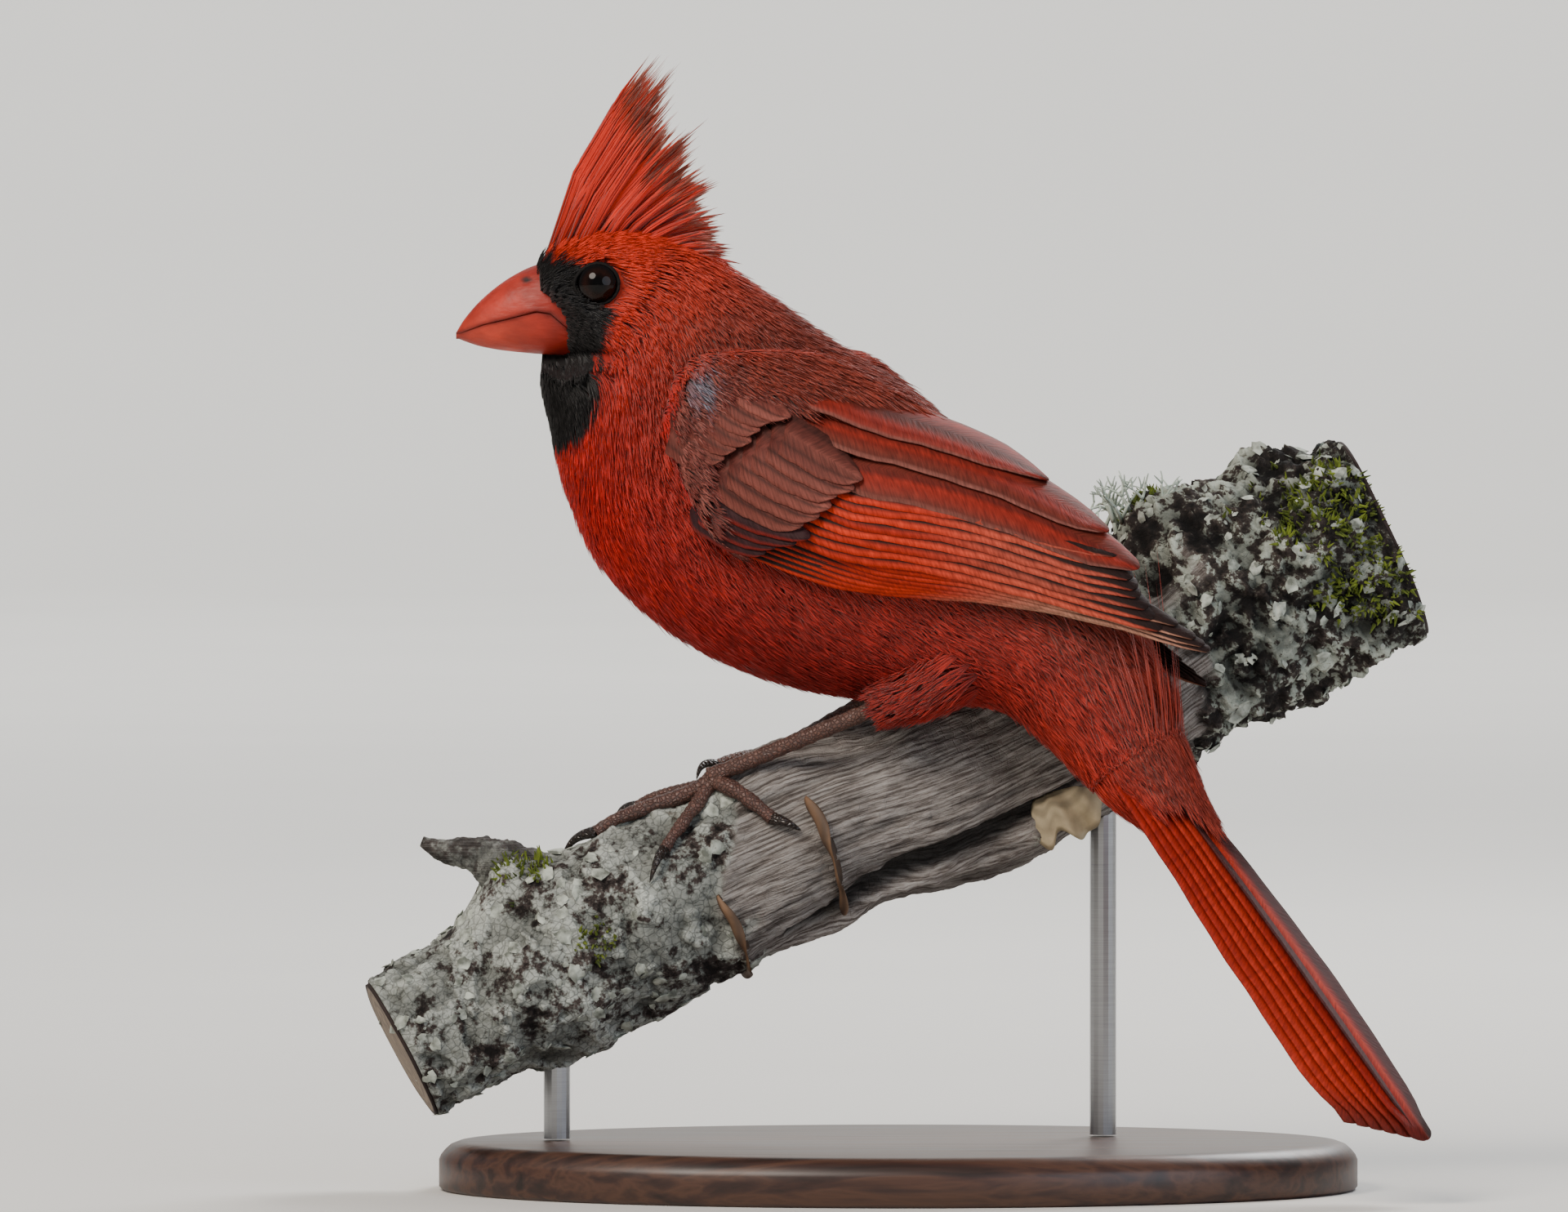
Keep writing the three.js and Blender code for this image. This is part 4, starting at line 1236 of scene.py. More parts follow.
def horn_material():
    """Keratin of the bill: smooth, with fine growth lines and a waxy gloss."""
    made, tree, shader = new_material("bill keratin")
    colour = add(tree, "ShaderNodeAttribute", attribute_name="tint")
    coords = add(tree, "ShaderNodeTexCoord")
    along_bill = add(
        tree, "ShaderNodeMapping", {"Vector": coords.outputs["Object"], "Scale": (0.35, 1.0, 1.0)}
    )
    growth = add(
        tree, "ShaderNodeTexNoise", {"Vector": along_bill.outputs["Vector"], "Scale": 900.0, "Detail": 5.0}
    )
    cloud = add(
        tree, "ShaderNodeTexNoise", {"Vector": coords.outputs["Object"], "Scale": 330.0, "Detail": 3.0}
    )
    shade = add(
        tree, "ShaderNodeMapRange", {"Value": cloud.outputs["Fac"], "From Min": 0.3, "From Max": 0.7, "To Min": 0.78, "To Max": 1.2}
    )
    mixed = add(
        tree,
        "ShaderNodeMix",
        {0: 1.0, 6: colour.outputs["Color"], 7: shade.outputs["Result"]},
        data_type="RGBA",
        blend_type="MULTIPLY",
    )
    bump = add(tree, "ShaderNodeBump", {"Height": growth.outputs["Fac"], "Strength": 0.45, "Distance": 0.0004})
    gloss = add(
        tree, "ShaderNodeMapRange", {"Value": growth.outputs["Fac"], "To Min": 0.30, "To Max": 0.75}
    )
    tree.links.new(mixed.outputs[2], shader.inputs["Base Color"])
    tree.links.new(gloss.outputs["Result"], shader.inputs["Roughness"])
    tree.links.new(bump.outputs["Normal"], shader.inputs["Normal"])
    shader.inputs["IOR"].default_value = 1.54
    shader.inputs["Specular IOR Level"].default_value = 0.38
    shader.inputs["Subsurface Weight"].default_value = 0.12
    shader.inputs["Subsurface Radius"].default_value = (0.002, 0.0006, 0.0003)
    return made


HORN = horn_material()


def bill_half(name, upper):
    rings, sides = 80, 56
    k = np.linspace(0, 1, rings)[:, None] ** 1.5 * 7
    angle = np.linspace(0, 2 * np.pi, sides, endpoint=False)[None, :]
    x, top, low, half = np.moveaxis(along(BILL, k + 0 * angle), -1, 0)
    z = (top + low) / 2 + (top - low) / 2 * np.cos(angle)
    # A slightly pinched ridge along the culmen.
    y = half * np.sin(angle) * (1 - 0.10 * np.maximum(np.cos(angle), 0) ** 2)
    mouth = np.interp(x, MOUTH[:, 0], MOUTH[:, 1])
    # The edges of the mouth lie above its middle, so no light passes between the halves.
    mouth = mouth - 0.9 * (1 - np.minimum(np.abs(y) / half, 1) ** 2)
    if upper:
        y = y * (1.0 + 0.03 * smooth(1 - (z - mouth) / 2))
        z = np.maximum(z, mouth)
    else:
        z = np.minimum(z, mouth - MOUTH_GAP)
        y = y * 0.965
    for side in (-1, 1):
        pit = np.sqrt(
            ((x - NOSTRIL[0]) / 1.0) ** 2 + ((z - NOSTRIL[2]) / 0.55) ** 2 + ((y - side * NOSTRIL[1]) / 2.0) ** 2
        )
        y = y - side * 0.35 * np.exp(-(pit**2))
    edge = np.exp(-(np.abs(z - mouth) / 0.5) ** 2)
    back = smooth((x + 66) / 10)
    colour = blend(HORN_RED, HORN_DEEP, 0.55 * back + 0.25 * smooth((z - 147) / 5))
    colour = blend(colour, HORN_PALE, 0.5 * smooth((146.5 - z) / 6) * (1 - back))
    # Painted shade: a dark line along the mouth, in the crease where the two halves meet.
    colour = blend(colour, HORN_DEEP * 0.5, edge * 0.7)
    # Painted shade: the shallow nostril pit is painted black, for the dark of its opening.
    pit = np.sqrt(((x - NOSTRIL[0]) / 0.95) ** 2 + ((z - NOSTRIL[2]) / 0.55) ** 2)
    colour = blend(colour, MASK, np.exp(-(pit**4)) * (np.abs(y) > 2))
    rows = on_head(np.stack([x, y, z], axis=-1))
    tint = np.concatenate([colour.reshape(-1, 3), colour[0, :1], colour[-1, :1]])
    walls, fans = tube_faces(rings, sides)
    points = tube_points(rows)
    if inside_out(points, walls):
        walls, fans = walls[:, ::-1], fans[:, ::-1]
    return keep(mesh_piece(name, points, [walls, fans], HORN, tint), "bill", name)


bill_half("bill_upper", True)
bill_half("bill_lower", False)

# %% [markdown]
# The eye is a wet ball with a very dark brown iris, hardly lighter than its pupil. It
# sits in a ring of bare black skin, the lid, which is a tube bent round it.

# %% Eyes and lids
LID_RING = 3.45
LID_THICK = 0.29
LID_OUT = 11.0
IRIS = linear("#1c0c07")
PUPIL = linear("#040303")


def eye_material():
    """The cornea over a dark iris: clear, wet and very smooth."""
    made, tree, shader = new_material("wet eye")
    colour = add(tree, "ShaderNodeAttribute", attribute_name="tint")
    coords = add(tree, "ShaderNodeTexCoord")
    rays = add(tree, "ShaderNodeTexNoise", {"Vector": coords.outputs["Object"], "Scale": 1400.0})
    shade = add(tree, "ShaderNodeMapRange", {"Value": rays.outputs["Fac"], "To Min": 0.5, "To Max": 1.5})
    mixed = add(
        tree,
        "ShaderNodeMix",
        {0: 1.0, 6: colour.outputs["Color"], 7: shade.outputs["Result"]},
        data_type="RGBA",
        blend_type="MULTIPLY",
    )
    tree.links.new(mixed.outputs[2], shader.inputs["Base Color"])
    shader.inputs["Roughness"].default_value = 0.04
    shader.inputs["IOR"].default_value = 1.34
    shader.inputs["Specular IOR Level"].default_value = 0.32
    return made


def lid_material():
    """Bare skin of the eyelid: black, beaded and slightly moist."""
    made, tree, shader = new_material("eyelid skin")
    coords = add(tree, "ShaderNodeTexCoord")
    beads = add(tree, "ShaderNodeTexVoronoi", {"Vector": coords.outputs["Object"], "Scale": 2200.0})
    tone = add(
        tree, "ShaderNodeMix", {0: beads.outputs["Distance"], 6: rgba("#080706"), 7: rgba("#141110")}, data_type="RGBA"
    )
    bump = add(tree, "ShaderNodeBump", {"Height": beads.outputs["Distance"], "Strength": 0.5, "Distance": 0.0002})
    tree.links.new(tone.outputs[2], shader.inputs["Base Color"])
    tree.links.new(bump.outputs["Normal"], shader.inputs["Normal"])
    shader.inputs["Roughness"].default_value = 0.7
    shader.inputs["Specular IOR Level"].default_value = 0.15
    return made


WET_EYE = eye_material()
LID_SKIN = lid_material()


def eye(name, side):
    rings, sides = 34, 48
    polar = np.linspace(0.02, np.pi - 0.02, rings)[:, None]
    round_ = np.linspace(0, 2 * np.pi, sides, endpoint=False)[None, :]
    cap = 1 + 0.04 * np.exp(-((polar / 0.7) ** 2))
    local = np.stack(
        [
            EYE_RADIUS * np.sin(polar) * np.cos(round_),
            side * 0.88 * EYE_RADIUS * cap * np.cos(polar) + 0 * round_,
            EYE_RADIUS * np.sin(polar) * np.sin(round_),
        ],
        axis=-1,
    )
    rows = on_head(local + EYE * np.array([1, side, 1]))
    ring = np.exp(-(((polar - 0.62) / 0.2) ** 2)) + 0 * round_
    tint = blend(PUPIL, IRIS, ring).reshape(-1, 3)
    tint = np.concatenate([tint, tint[:1], tint[-1:]])
    walls, fans = tube_faces(rings, sides)
    points = tube_points(rows)
    if inside_out(points, walls):
        walls, fans = walls[:, ::-1], fans[:, ::-1]
    return keep(mesh_piece(name, points, [walls, fans], WET_EYE, tint), "eye", name)


def lid(name, side):
    rings, sides = 72, 12
    a = np.linspace(0, 2 * np.pi, rings, endpoint=False)[:, None]
    b = np.linspace(0, 2 * np.pi, sides, endpoint=False)[None, :]
    thick = LID_THICK * (1 + 0.10 * np.sin(a * 17)) * (1 + 0.25 * np.maximum(np.sin(a), 0))
    reach = LID_RING + thick * np.cos(b) + 0.45 * np.maximum(-np.cos(a), 0) ** 6
    local = np.stack([reach * np.cos(a), thick * np.sin(b) * side + 0 * a, reach * 0.97 * np.sin(a)], axis=-1)
    local[..., 1] += side * (LID_OUT + 0.035 * local[..., 0] - 0.05 * local[..., 2])
    rows = on_head(local + np.array([EYE[0], 0, EYE[2]]))
    quads = grid_faces(rings, sides, wrap=True)
    seam = (rings - 1) * sides + np.arange(sides)
    close = np.stack([seam, (rings - 1) * sides + (np.arange(sides) + 1) % sides, (np.arange(sides) + 1) % sides, np.arange(sides)], axis=-1)
    quads = np.concatenate([quads, close])
    points = rows.reshape(-1, 3)
    if inside_out(points, quads):
        quads = quads[:, ::-1]
    return keep(mesh_piece(name, points, [quads], LID_SKIN), "red_plumage")


for name, side in (("left", -1), ("right", 1)):
    eye(f"eye_{name}", side)
    lid(f"lid_{name}", side)

# %% [markdown]
# The perch is a dead branch. A table gives its centre line and radius, and every point of
# its surface is a distance along it and an angle round it. The feet grip the same surface,
# so it comes before them. The lower end keeps its pale bark, the middle has lost it and
# shows grooved grey wood with a long split, and the upper end is rough and full of lichen.

# %% Perch
PERCH = np.array(
    [  # x, y, z, radius
        [-82, -2, 23.5, 12.0],
        [-68, 0, 31.0, 13.6],
        [-54, 1.5, 38.5, 15.4],
        [-33, 4, 50.0, 15.4],
        [-13, 6.5, 58.8, 15.2],
        [7, 9, 65.5, 14.8],
        [27, 11.5, 75.0, 15.4],
        [47, 13.5, 90.2, 18.2],
        [64, 15.5, 100.2, 18.8],
        [80, 17, 107.6, 18.0],
    ],
    dtype=float,
)
PERCH_LAST = len(PERCH) - 1


def perch_frame(u):
    """Centre, radius, and the directions up and towards the viewer across the branch."""
    row = along(PERCH, u)
    run = along(PERCH, np.minimum(u + 0.05, PERCH_LAST)) - along(PERCH, np.maximum(u - 0.05, 0))
    run = unit(run[..., :3])
    near = unit(np.cross(np.array([0.0, 0.0, -1.0]), run))
    near = near * np.where(near[..., 1:2] > 0, -1, 1)
    up = np.cross(run, near)
    up = up * np.where(up[..., 2:3] < 0, -1, 1)
    return row[..., :3], row[..., 3], up, near


def bark_swell(u, angle):
    return (
        1
        + 0.035 * np.sin(3 * angle + 2.1 * u)
        + 0.03 * np.sin(2 * angle - 3.3 * u + 1)
        + 0.025 * np.sin(5 * angle + 4.7 * u)
        + 0.03 * np.sin(5.3 * u)
    )


def on_perch(u, degrees, lift=0.0):
    u, degrees = np.broadcast_arrays(np.asarray(u, float), np.asarray(degrees, float))
    middle, radius, up, near = perch_frame(u)
    angle = np.radians(degrees)
    reach = (radius * bark_swell(u, angle) + lift)[..., None]
    return middle + reach * (up * np.cos(angle)[..., None] + near * np.sin(angle)[..., None])


def noise_at(p, octaves=1):
    """Smooth noise, about -1 to 1, at points in any units."""
    flat = np.asarray(p).reshape(-1, 3).tolist()
    values = [noise.fractal(q, 1.0, 2.0, octaves) for q in flat]
    return np.array(values).reshape(np.shape(p)[:-1])


PERCH_RINGS = 480
PERCH_SIDES = 180
BURLS = ((1.9, 12, 7.0), (7.3, 20, 7.5), (8.2, -10, 6.0))  # station, degrees, size


SPLIT = (3.3, 2.7, 140.0, -24.0)  # first station, stations long, first angle, change of angle


def split_shape(u, degrees):
    """How deep a place lies in the long split, and how near to the torn strip below it."""
    share = np.clip((u - SPLIT[0]) / SPLIT[1], 0, 1)
    centre = SPLIT[2] + SPLIT[3] * share + 3 * np.sin(9 * share)
    open_ = np.sin(np.pi * share) ** 0.6
    off = degrees - centre
    split = np.exp(-((np.abs(off) / (7.5 * open_ + 0.01)) ** 4)) * open_
    strip = np.exp(-(((off - 17) / 7) ** 2)) * open_
    return split, strip


def bark_zones(p):
    """Shares of pale lower bark, bare wood and rough upper bark."""
    patch = noise_at(p * 0.07, 3)
    lower = smooth((-24 - p[..., 0] + 14 * patch) / 4)
    upper = smooth((p[..., 0] - 36 + 20 * patch) / 6)
    return lower, np.clip(1 - lower - upper, 0, 1), upper


def wood_fibre(u, degrees, run):
    """Ridges that run along the branch."""
    angle = np.radians(degrees)
    place = np.stack([0.045 * run + 0 * angle, 7 * np.cos(angle), 7 * np.sin(angle)], axis=-1)
    return 1 - 2 * np.abs(noise_at(place, 4))


def burl_lift(u, degrees):
    lift = 0 * u
    for at_u, at_degrees, size in BURLS:
        reach = np.hypot((u - at_u) * 17, (degrees - at_degrees) * 0.26)
        lift = lift + 0.72 * size * np.exp(-((reach / (0.95 * size)) ** 2))
    return lift


def perch_wood():
    """Points of the branch, its zones with painted shade in the hollows and the split, and the way along it."""
    u = np.linspace(0, PERCH_LAST, PERCH_RINGS)[:, None]
    degrees = np.linspace(-180, 180, PERCH_SIDES, endpoint=False)[None, :]
    u, degrees = np.broadcast_arrays(u, degrees)
    p = on_perch(u, degrees)
    steps = np.linalg.norm(np.diff(p[:, :1], axis=0, prepend=p[:1, :1]), axis=-1)
    run = np.cumsum(steps, axis=0)
    lower, wood, upper = bark_zones(p)
    fibre = wood_fibre(u, degrees, run)
    lumps = noise_at(p * 0.11, 4)
    crust = noise_at(p * 0.55, 4)
    sheets = smooth((noise_at(p * 0.16 + 7.3, 3) + 0.12) / 0.07)
    flakes = smooth((noise_at(p * 0.30 + 3.1, 3) - 0.02) / 0.06)
    lift = wood * (0.55 * fibre + 0.25 * crust + 0.5 * lumps)
    lift = lift + lower * (0.75 * sheets + 0.30 * crust + 0.9 * lumps - 0.5)
    lift = lift + upper * (0.9 * flakes + 0.75 * crust + 2.0 * lumps - 0.6)
    split, strip = split_shape(u, degrees)
    lift = lift - 3.0 * split + strip * (1.2 + 1.0 * fibre)
    lift = lift * (0.2 + 0.8 * smooth(np.minimum(u, PERCH_LAST - u) / 0.15))
    # Painted shade and light: the zones are darker where the surface lies low and in the split, and lighter where it
    # stands high.
    shade = 0.62 + 0.42 * lift - 0.10 * lumps - 0.9 * split
    lift = lift + burl_lift(u, degrees)
    pale = np.stack([lower, wood, upper], axis=-1) * np.clip(shade, 0.10, 1.15)[..., None]
    flaky = lower * (0.25 + 0.75 * sheets) * (crust > 0) + 0.7 * upper * flakes
    mossy = moss_patches(p)
    return on_perch(u, degrees, lift), pale, run, degrees, flaky, mossy


MOSS_AT = np.array([[70, 2, 112, 10], [78, 0, 100, 8], [-61, -3, 50, 5], [41, 10, 112, 5], [-50, -12, 42, 4.5]])


def moss_patches(p):
    """Where moss grows: near a few places, with ragged edges."""
    share = 0 * p[..., 0]
    ragged = 1 + 0.7 * noise_at(p * 0.3, 3)
    for x, y, z, size in MOSS_AT:
        away = np.linalg.norm(p - np.array([x, y, z]), axis=-1)
        share = np.maximum(share, smooth((size * ragged - away) / 2))
    return share


def set_ramp(ramp, stops):
    """Colour stops of a ramp as place and sRGB hex code."""
    elements = ramp.color_ramp.elements
    while len(elements) < len(stops):
        elements.new(1.0)
    for element, (place, colour) in zip(elements, stops):
        element.position = place
        element.color = rgba(colour)


def scaled_colour(tree, colour, factor):
    mixed = add(tree, "ShaderNodeMix", {0: 1.0, 6: colour, 7: factor}, data_type="RGBA", blend_type="MULTIPLY")
    return mixed.outputs[2]


BARK_TONES = {
    "chalky bark": [
        (0.40, "#231d1b"), (0.455, "#574d49"), (0.48, "#8f948d"), (0.53, "#c3c8c0"), (0.60, "#a9aea5"), (0.68, "#6a645c")
    ],
    "split wood": [(0.30, "#241f1d"), (0.43, "#615954"), (0.52, "#8f8984"), (0.62, "#aca8a3"), (0.75, "#6e6055")],
    "rough bark": [
        (0.40, "#171412"), (0.47, "#322b28"), (0.505, "#4c453f"), (0.525, "#949b90"), (0.60, "#aeb4a8"), (0.68, "#5d5a50")
    ],
}


def bark_patterns(tree, place):
    """Crusts of lichen at two sizes, their fine cracks, and the fibres of the wood."""
    specks = add(tree, "ShaderNodeTexNoise", {"Vector": place, "Scale": 620.0, "Detail": 6.0, "Roughness": 0.65})
    patches = add(tree, "ShaderNodeTexNoise", {"Vector": place, "Scale": 150.0, "Detail": 5.0, "Roughness": 0.6})
    crust = add(tree, "ShaderNodeMix", {0: 0.55, 2: specks.outputs["Fac"], 3: patches.outputs["Fac"]})
    cells = add(tree, "ShaderNodeTexVoronoi", {"Vector": place, "Scale": 760.0}, feature="DISTANCE_TO_EDGE")
    cracks = add(
        tree, "ShaderNodeMapRange", {"Value": cells.outputs["Distance"], "From Max": 0.10, "To Min": 0.55}
    )
    # The grain map holds millimetres along the branch and round it.
    lay = add(tree, "ShaderNodeUVMap", uv_map="grain")
    drawn = add(tree, "ShaderNodeMapping", {"Vector": lay.outputs["UV"], "Scale": (0.06, 1.0, 1.0)})
    fibre = add(
        tree, "ShaderNodeTexNoise", {"Vector": drawn.outputs["Vector"], "Scale": 2.2, "Detail": 7.0, "Roughness": 0.7}
    )
    return crust.outputs[0], cracks.outputs["Result"], fibre.outputs["Fac"]


def bark_material():
    """Weathered branch: chalky bark, silvery split wood and rough lichen-covered bark."""
    made, tree, shader = new_material("weathered branch")
    coords = add(tree, "ShaderNodeTexCoord")
    crust, cracks, fibre = bark_patterns(tree, coords.outputs["Object"])
    # The tint holds the shares of the three zones, with painted shade in the hollows and the split.
    zones = add(tree, "ShaderNodeAttribute", attribute_name="tint")
    share = add(tree, "ShaderNodeSeparateColor", {"Color": zones.outputs["Color"]})
    total = None
    for (kind, stops), source, zone in zip(BARK_TONES.items(), (crust, fibre, crust), ("Red", "Green", "Blue")):
        tone = add(tree, "ShaderNodeValToRGB", {"Fac": source})
        set_ramp(tone, stops)
        part = scaled_colour(tree, tone.outputs["Color"], share.outputs[zone])
        if zone == "Red":
            part = scaled_colour(tree, part, cracks)
        total = part if total is None else sum_colour(tree, total, part)
    crusts = add(tree, "ShaderNodeMath", {0: crust, 1: cracks}, operation="MULTIPLY")
    height = add(tree, "ShaderNodeMath", {0: crusts.outputs[0], 1: fibre}, operation="ADD")
    bump = add(tree, "ShaderNodeBump", {"Height": height.outputs[0], "Strength": 0.8, "Distance": 0.0005})
    tree.links.new(total, shader.inputs["Base Color"])
    tree.links.new(bump.outputs["Normal"], shader.inputs["Normal"])
    shader.inputs["Roughness"].default_value = 0.9
    shader.inputs["Specular IOR Level"].default_value = 0.25
    return made


def sum_colour(tree, first, second):
    mixed = add(tree, "ShaderNodeMix", {0: 1.0, 6: first, 7: second}, data_type="RGBA", blend_type="ADD")
    return mixed.outputs[2]


BARK = bark_material()


def note(piece, name, values):
    """Writes one number per point on a mesh, for a tree to read."""
    layer = piece.data.attributes.new(name, "FLOAT", "POINT")
    layer.data.foreach_set("value", np.asarray(values, np.float32).ravel())


def perch_piece():
    points, pale, run, degrees, flaky, mossy = perch_wood()
    walls, fans = tube_faces(PERCH_RINGS, PERCH_SIDES)
    tint = np.concatenate([pale.reshape(-1, 3), [[0, 0.5, 0]], [[0, 0.5, 0]]])
    around = np.radians(degrees) * 15
    grain = np.stack([run + 0 * around, around], axis=-1).reshape(-1, 2)
    grain = np.concatenate([grain, [[0, 0]], [[0, 0]]])
    all_points = tube_points(points)
    if inside_out(all_points, walls):
        walls, fans = walls[:, ::-1], fans[:, ::-1]
    piece = mesh_piece("branch", all_points, [walls, fans], BARK, tint, {"grain": grain})
    note(piece, "flaky", np.append(flaky.ravel(), [0, 0]))
    note(piece, "mossy", np.append(mossy.ravel(), [0, 0]))
    return keep(piece, "weathered_wood", "perch")


branch = perch_piece()

# %% [markdown]
# A twig has snapped off near the lower end. Both ends of the branch are sawn, so each gets
# a disc with the year rings. A curl of loose bark and a pale bracket of fungus are thin
# sheets that start in the surface and bend away from it.

# %% Twig, sawn ends, curl and bracket
TWIG = np.array(
    [
        [-58, 1, 48, 7.5],
        [-66, 0, 53.5, 4.6],
        [-70.5, -0.5, 55.6, 2.8],
        [-74.5, -0.8, 56, 2.1],
        [-78.8, -1, 57.6, 0.9],
    ]
)
RING_PALE = linear("#80705e")
RING_DARK = linear("#54463a")
CURL_BROWN = linear("#32251b")
CURL_PALE = linear("#75583f")
BRACKET = linear("#b8a888")


def twig_piece():
    table = along(TWIG, np.linspace(0, 4, 70))
    rings = tube_rings(table[:, :3], table[:, 3], sides=30)
    middle = table[:, None, :3]
    rough = 1 + 0.16 * noise_at(rings * 0.35, 4) + 0.10 * noise_at(rings * 1.3, 3)
    rings = middle + (rings - middle) * rough[..., None]
    walls, fans = tube_faces(*rings.shape[:2])
    points = tube_points(rings)
    if inside_out(points, walls):
        walls, fans = walls[:, ::-1], fans[:, ::-1]
    wear = 0.35 + 0.25 * noise_at(points * 0.5, 3)[:, None]
    tint = wear * np.array([0.55, 0.45, 0.25])
    grain = np.stack([points[:, 0], points[:, 2] * 2], axis=-1)
    return keep(mesh_piece("twig", points, [walls, fans], BARK, tint, {"grain": grain}), "weathered_wood")


def plain_material(name, roughness, mottle):
    """A dry matt stuff whose colour comes from its mesh, mottled a little."""
    made, tree, shader = new_material(name)
    colour = add(tree, "ShaderNodeAttribute", attribute_name="tint")
    coords = add(tree, "ShaderNodeTexCoord")
    cloud = add(tree, "ShaderNodeTexNoise", {"Vector": coords.outputs["Object"], "Scale": mottle, "Detail": 4.0})
    shade = add(tree, "ShaderNodeMapRange", {"Value": cloud.outputs["Fac"], "To Min": 0.55, "To Max": 1.45})
    bump = add(tree, "ShaderNodeBump", {"Height": cloud.outputs["Fac"], "Strength": 0.4, "Distance": 0.0003})
    tree.links.new(scaled_colour(tree, colour.outputs["Color"], shade.outputs["Result"]), shader.inputs["Base Color"])
    tree.links.new(bump.outputs["Normal"], shader.inputs["Normal"])
    shader.inputs["Roughness"].default_value = roughness
    return made


SAWN = plain_material("sawn end grain", 0.85, 500.0)
LOOSE_BARK = plain_material("loose bark", 0.7, 400.0)


def sawn_end(name, u, outward):
    """A thin closed disc with year rings and one drying crack."""
    rings, sides = 44, 90
    share = np.linspace(0.01, 0.975, rings)[:, None]
    degrees = np.linspace(-180, 180, sides, endpoint=False)[None, :]
    middle, _, _, _ = perch_frame(np.array(u))
    rim = on_perch(u, degrees[0])
    run = unit(np.cross(rim[0] - middle, rim[sides // 4] - middle)) * outward
    flat = middle + share[..., None] * (rim - middle)[None]
    wobble = noise_at(flat * 0.25, 3)
    check = np.exp(-(((degrees - 40 - 6 * wobble) / 2.5) ** 2)) * smooth(share * 2)
    raised = 0.3 + 0.12 * wobble - 0.25 * check - 0.3 * smooth((share - 0.9) / 0.07)
    rows = np.concatenate([flat + raised[..., None] * run, flat[::-1] - 0.6 * run])
    year = 0.5 + 0.5 * np.sin(60 * share + 6 * np.sin(5 * share) + 2.5 * wobble)
    tint = blend(RING_PALE, RING_DARK, 0.65 * year + 0.2 * wobble)
    # Painted shade: the drying crack is painted dark. The dark rim is the bark.
    tint = blend(tint, DUSK, np.maximum(check, smooth((share - 0.9) / 0.05)))
    tint = np.concatenate([tint, tint[::-1]]).reshape(-1, 3)
    walls, fans = tube_faces(2 * rings, sides)
    points = tube_points(rows)
    if inside_out(points, walls):
        walls, fans = walls[:, ::-1], fans[:, ::-1]
    tint = np.concatenate([tint, tint[:1], tint[-1:]])
    return keep(mesh_piece(name, points, [walls, fans], SAWN, tint), "weathered_wood")


def bent_sheet(name, u, degrees, lift, thick, tint):
    """A thin closed sheet over the branch from grids of places and heights."""
    top = on_perch(u, degrees, lift)
    bottom = on_perch(u, degrees, lift - thick)
    points = np.concatenate([top.reshape(-1, 3), bottom.reshape(-1, 3)])
    quads = sheet_faces(*u.shape)
    if inside_out(points, quads):
        quads = quads[:, ::-1]
    tint = np.tile(tint.reshape(-1, 3), (2, 1))
    return keep(mesh_piece(name, points, [quads], LOOSE_BARK, tint), "weathered_wood")


def bark_curl(name, u0, degrees, radius):
    """A strip of bark across the branch that has come away and rolled up."""
    v = np.linspace(0, 1, 44)[:, None]
    c = np.linspace(0, 1, 14)[None, :]
    at = degrees[0] + (degrees[1] - degrees[0]) * v + 0 * c
    ragged = (1 + 0.22 * np.sin(5 * v + 1) + 0.10 * np.sin(23 * v)) * (0.3 + 0.7 * np.sin(np.pi * v) ** 0.6)
    roll = 3.3 * c * (0.8 + 0.2 * np.sin(9 * v))
    size = radius * ragged * (1 - 0.25 * c)
    u = u0 - size * np.sin(roll) / 21 + 0.05 * np.sin(4 * v)
    lift = 0.4 + size * (1 - np.cos(roll))
    tint = blend(CURL_BROWN, CURL_PALE, c * (0.6 + 0.4 * np.sin(13 * v + 9 * c)))
    return bent_sheet(name, u, at, lift, 0.3, tint)


def bracket_fungus():
    """A thin pale shelf with a wavy, lobed rim."""
    v = np.linspace(-1, 1, 40)[:, None]
    c = np.linspace(0, 1, 12)[None, :]
    reach = 6.0 * np.sqrt(1 - 0.92 * v**2) * (1 + 0.18 * np.cos(9 * v + 0.6))
    u = 5.72 + 0.24 * v * (0.6 + 0.5 * c)
    degrees = 122 + 16 * c**2 + 5 * np.sin(6 * v) * c
    tint = blend(BRACKET, BRACKET * 0.5, (0.5 + 0.5 * np.sin(19 * c)) * (1 - 0.6 * c) + 0 * v)
    return bent_sheet("bracket_fungus", u, degrees, reach * c - 0.8, 0.7, tint)


twig_piece()
sawn_end("sawn_end_low", 0.0, 1)
sawn_end("sawn_end_high", PERCH_LAST, -1)
bark_curl("bark_curl_front", 3.95, (62, 146), 2.0)
bark_curl("bark_curl_low", 3.05, (95, 178), 1.8)
bark_curl("bark_curl_rear", 3.9, (-70, -150), 2.3)
bracket_fungus()

# %% [markdown]
# Lichen flakes and moss repeat hundreds of times over the bark, so a tree of geometry
# nodes scatters them. Points fall where the branch's own attribute allows, each gets a
# small rough shape with a random turn and size, and the result becomes a plain mesh.

# %% Lichen and moss
def tree_with(name, inputs):
    """A geometry tree with a geometry in and out and named inputs: name, kind, value."""
    tree = bpy.data.node_groups.new(name, "GeometryNodeTree")
    tree.interface.new_socket("Surface", in_out="INPUT", socket_type="NodeSocketGeometry")
    for label, (kind, value) in inputs.items():
        socket = tree.interface.new_socket(label, in_out="INPUT", socket_type=kind)
        if value is not None:
            socket.default_value = value
    tree.interface.new_socket("Growth", in_out="OUTPUT", socket_type="NodeSocketGeometry")
    return tree, add(tree, "NodeGroupInput"), add(tree, "NodeGroupOutput")


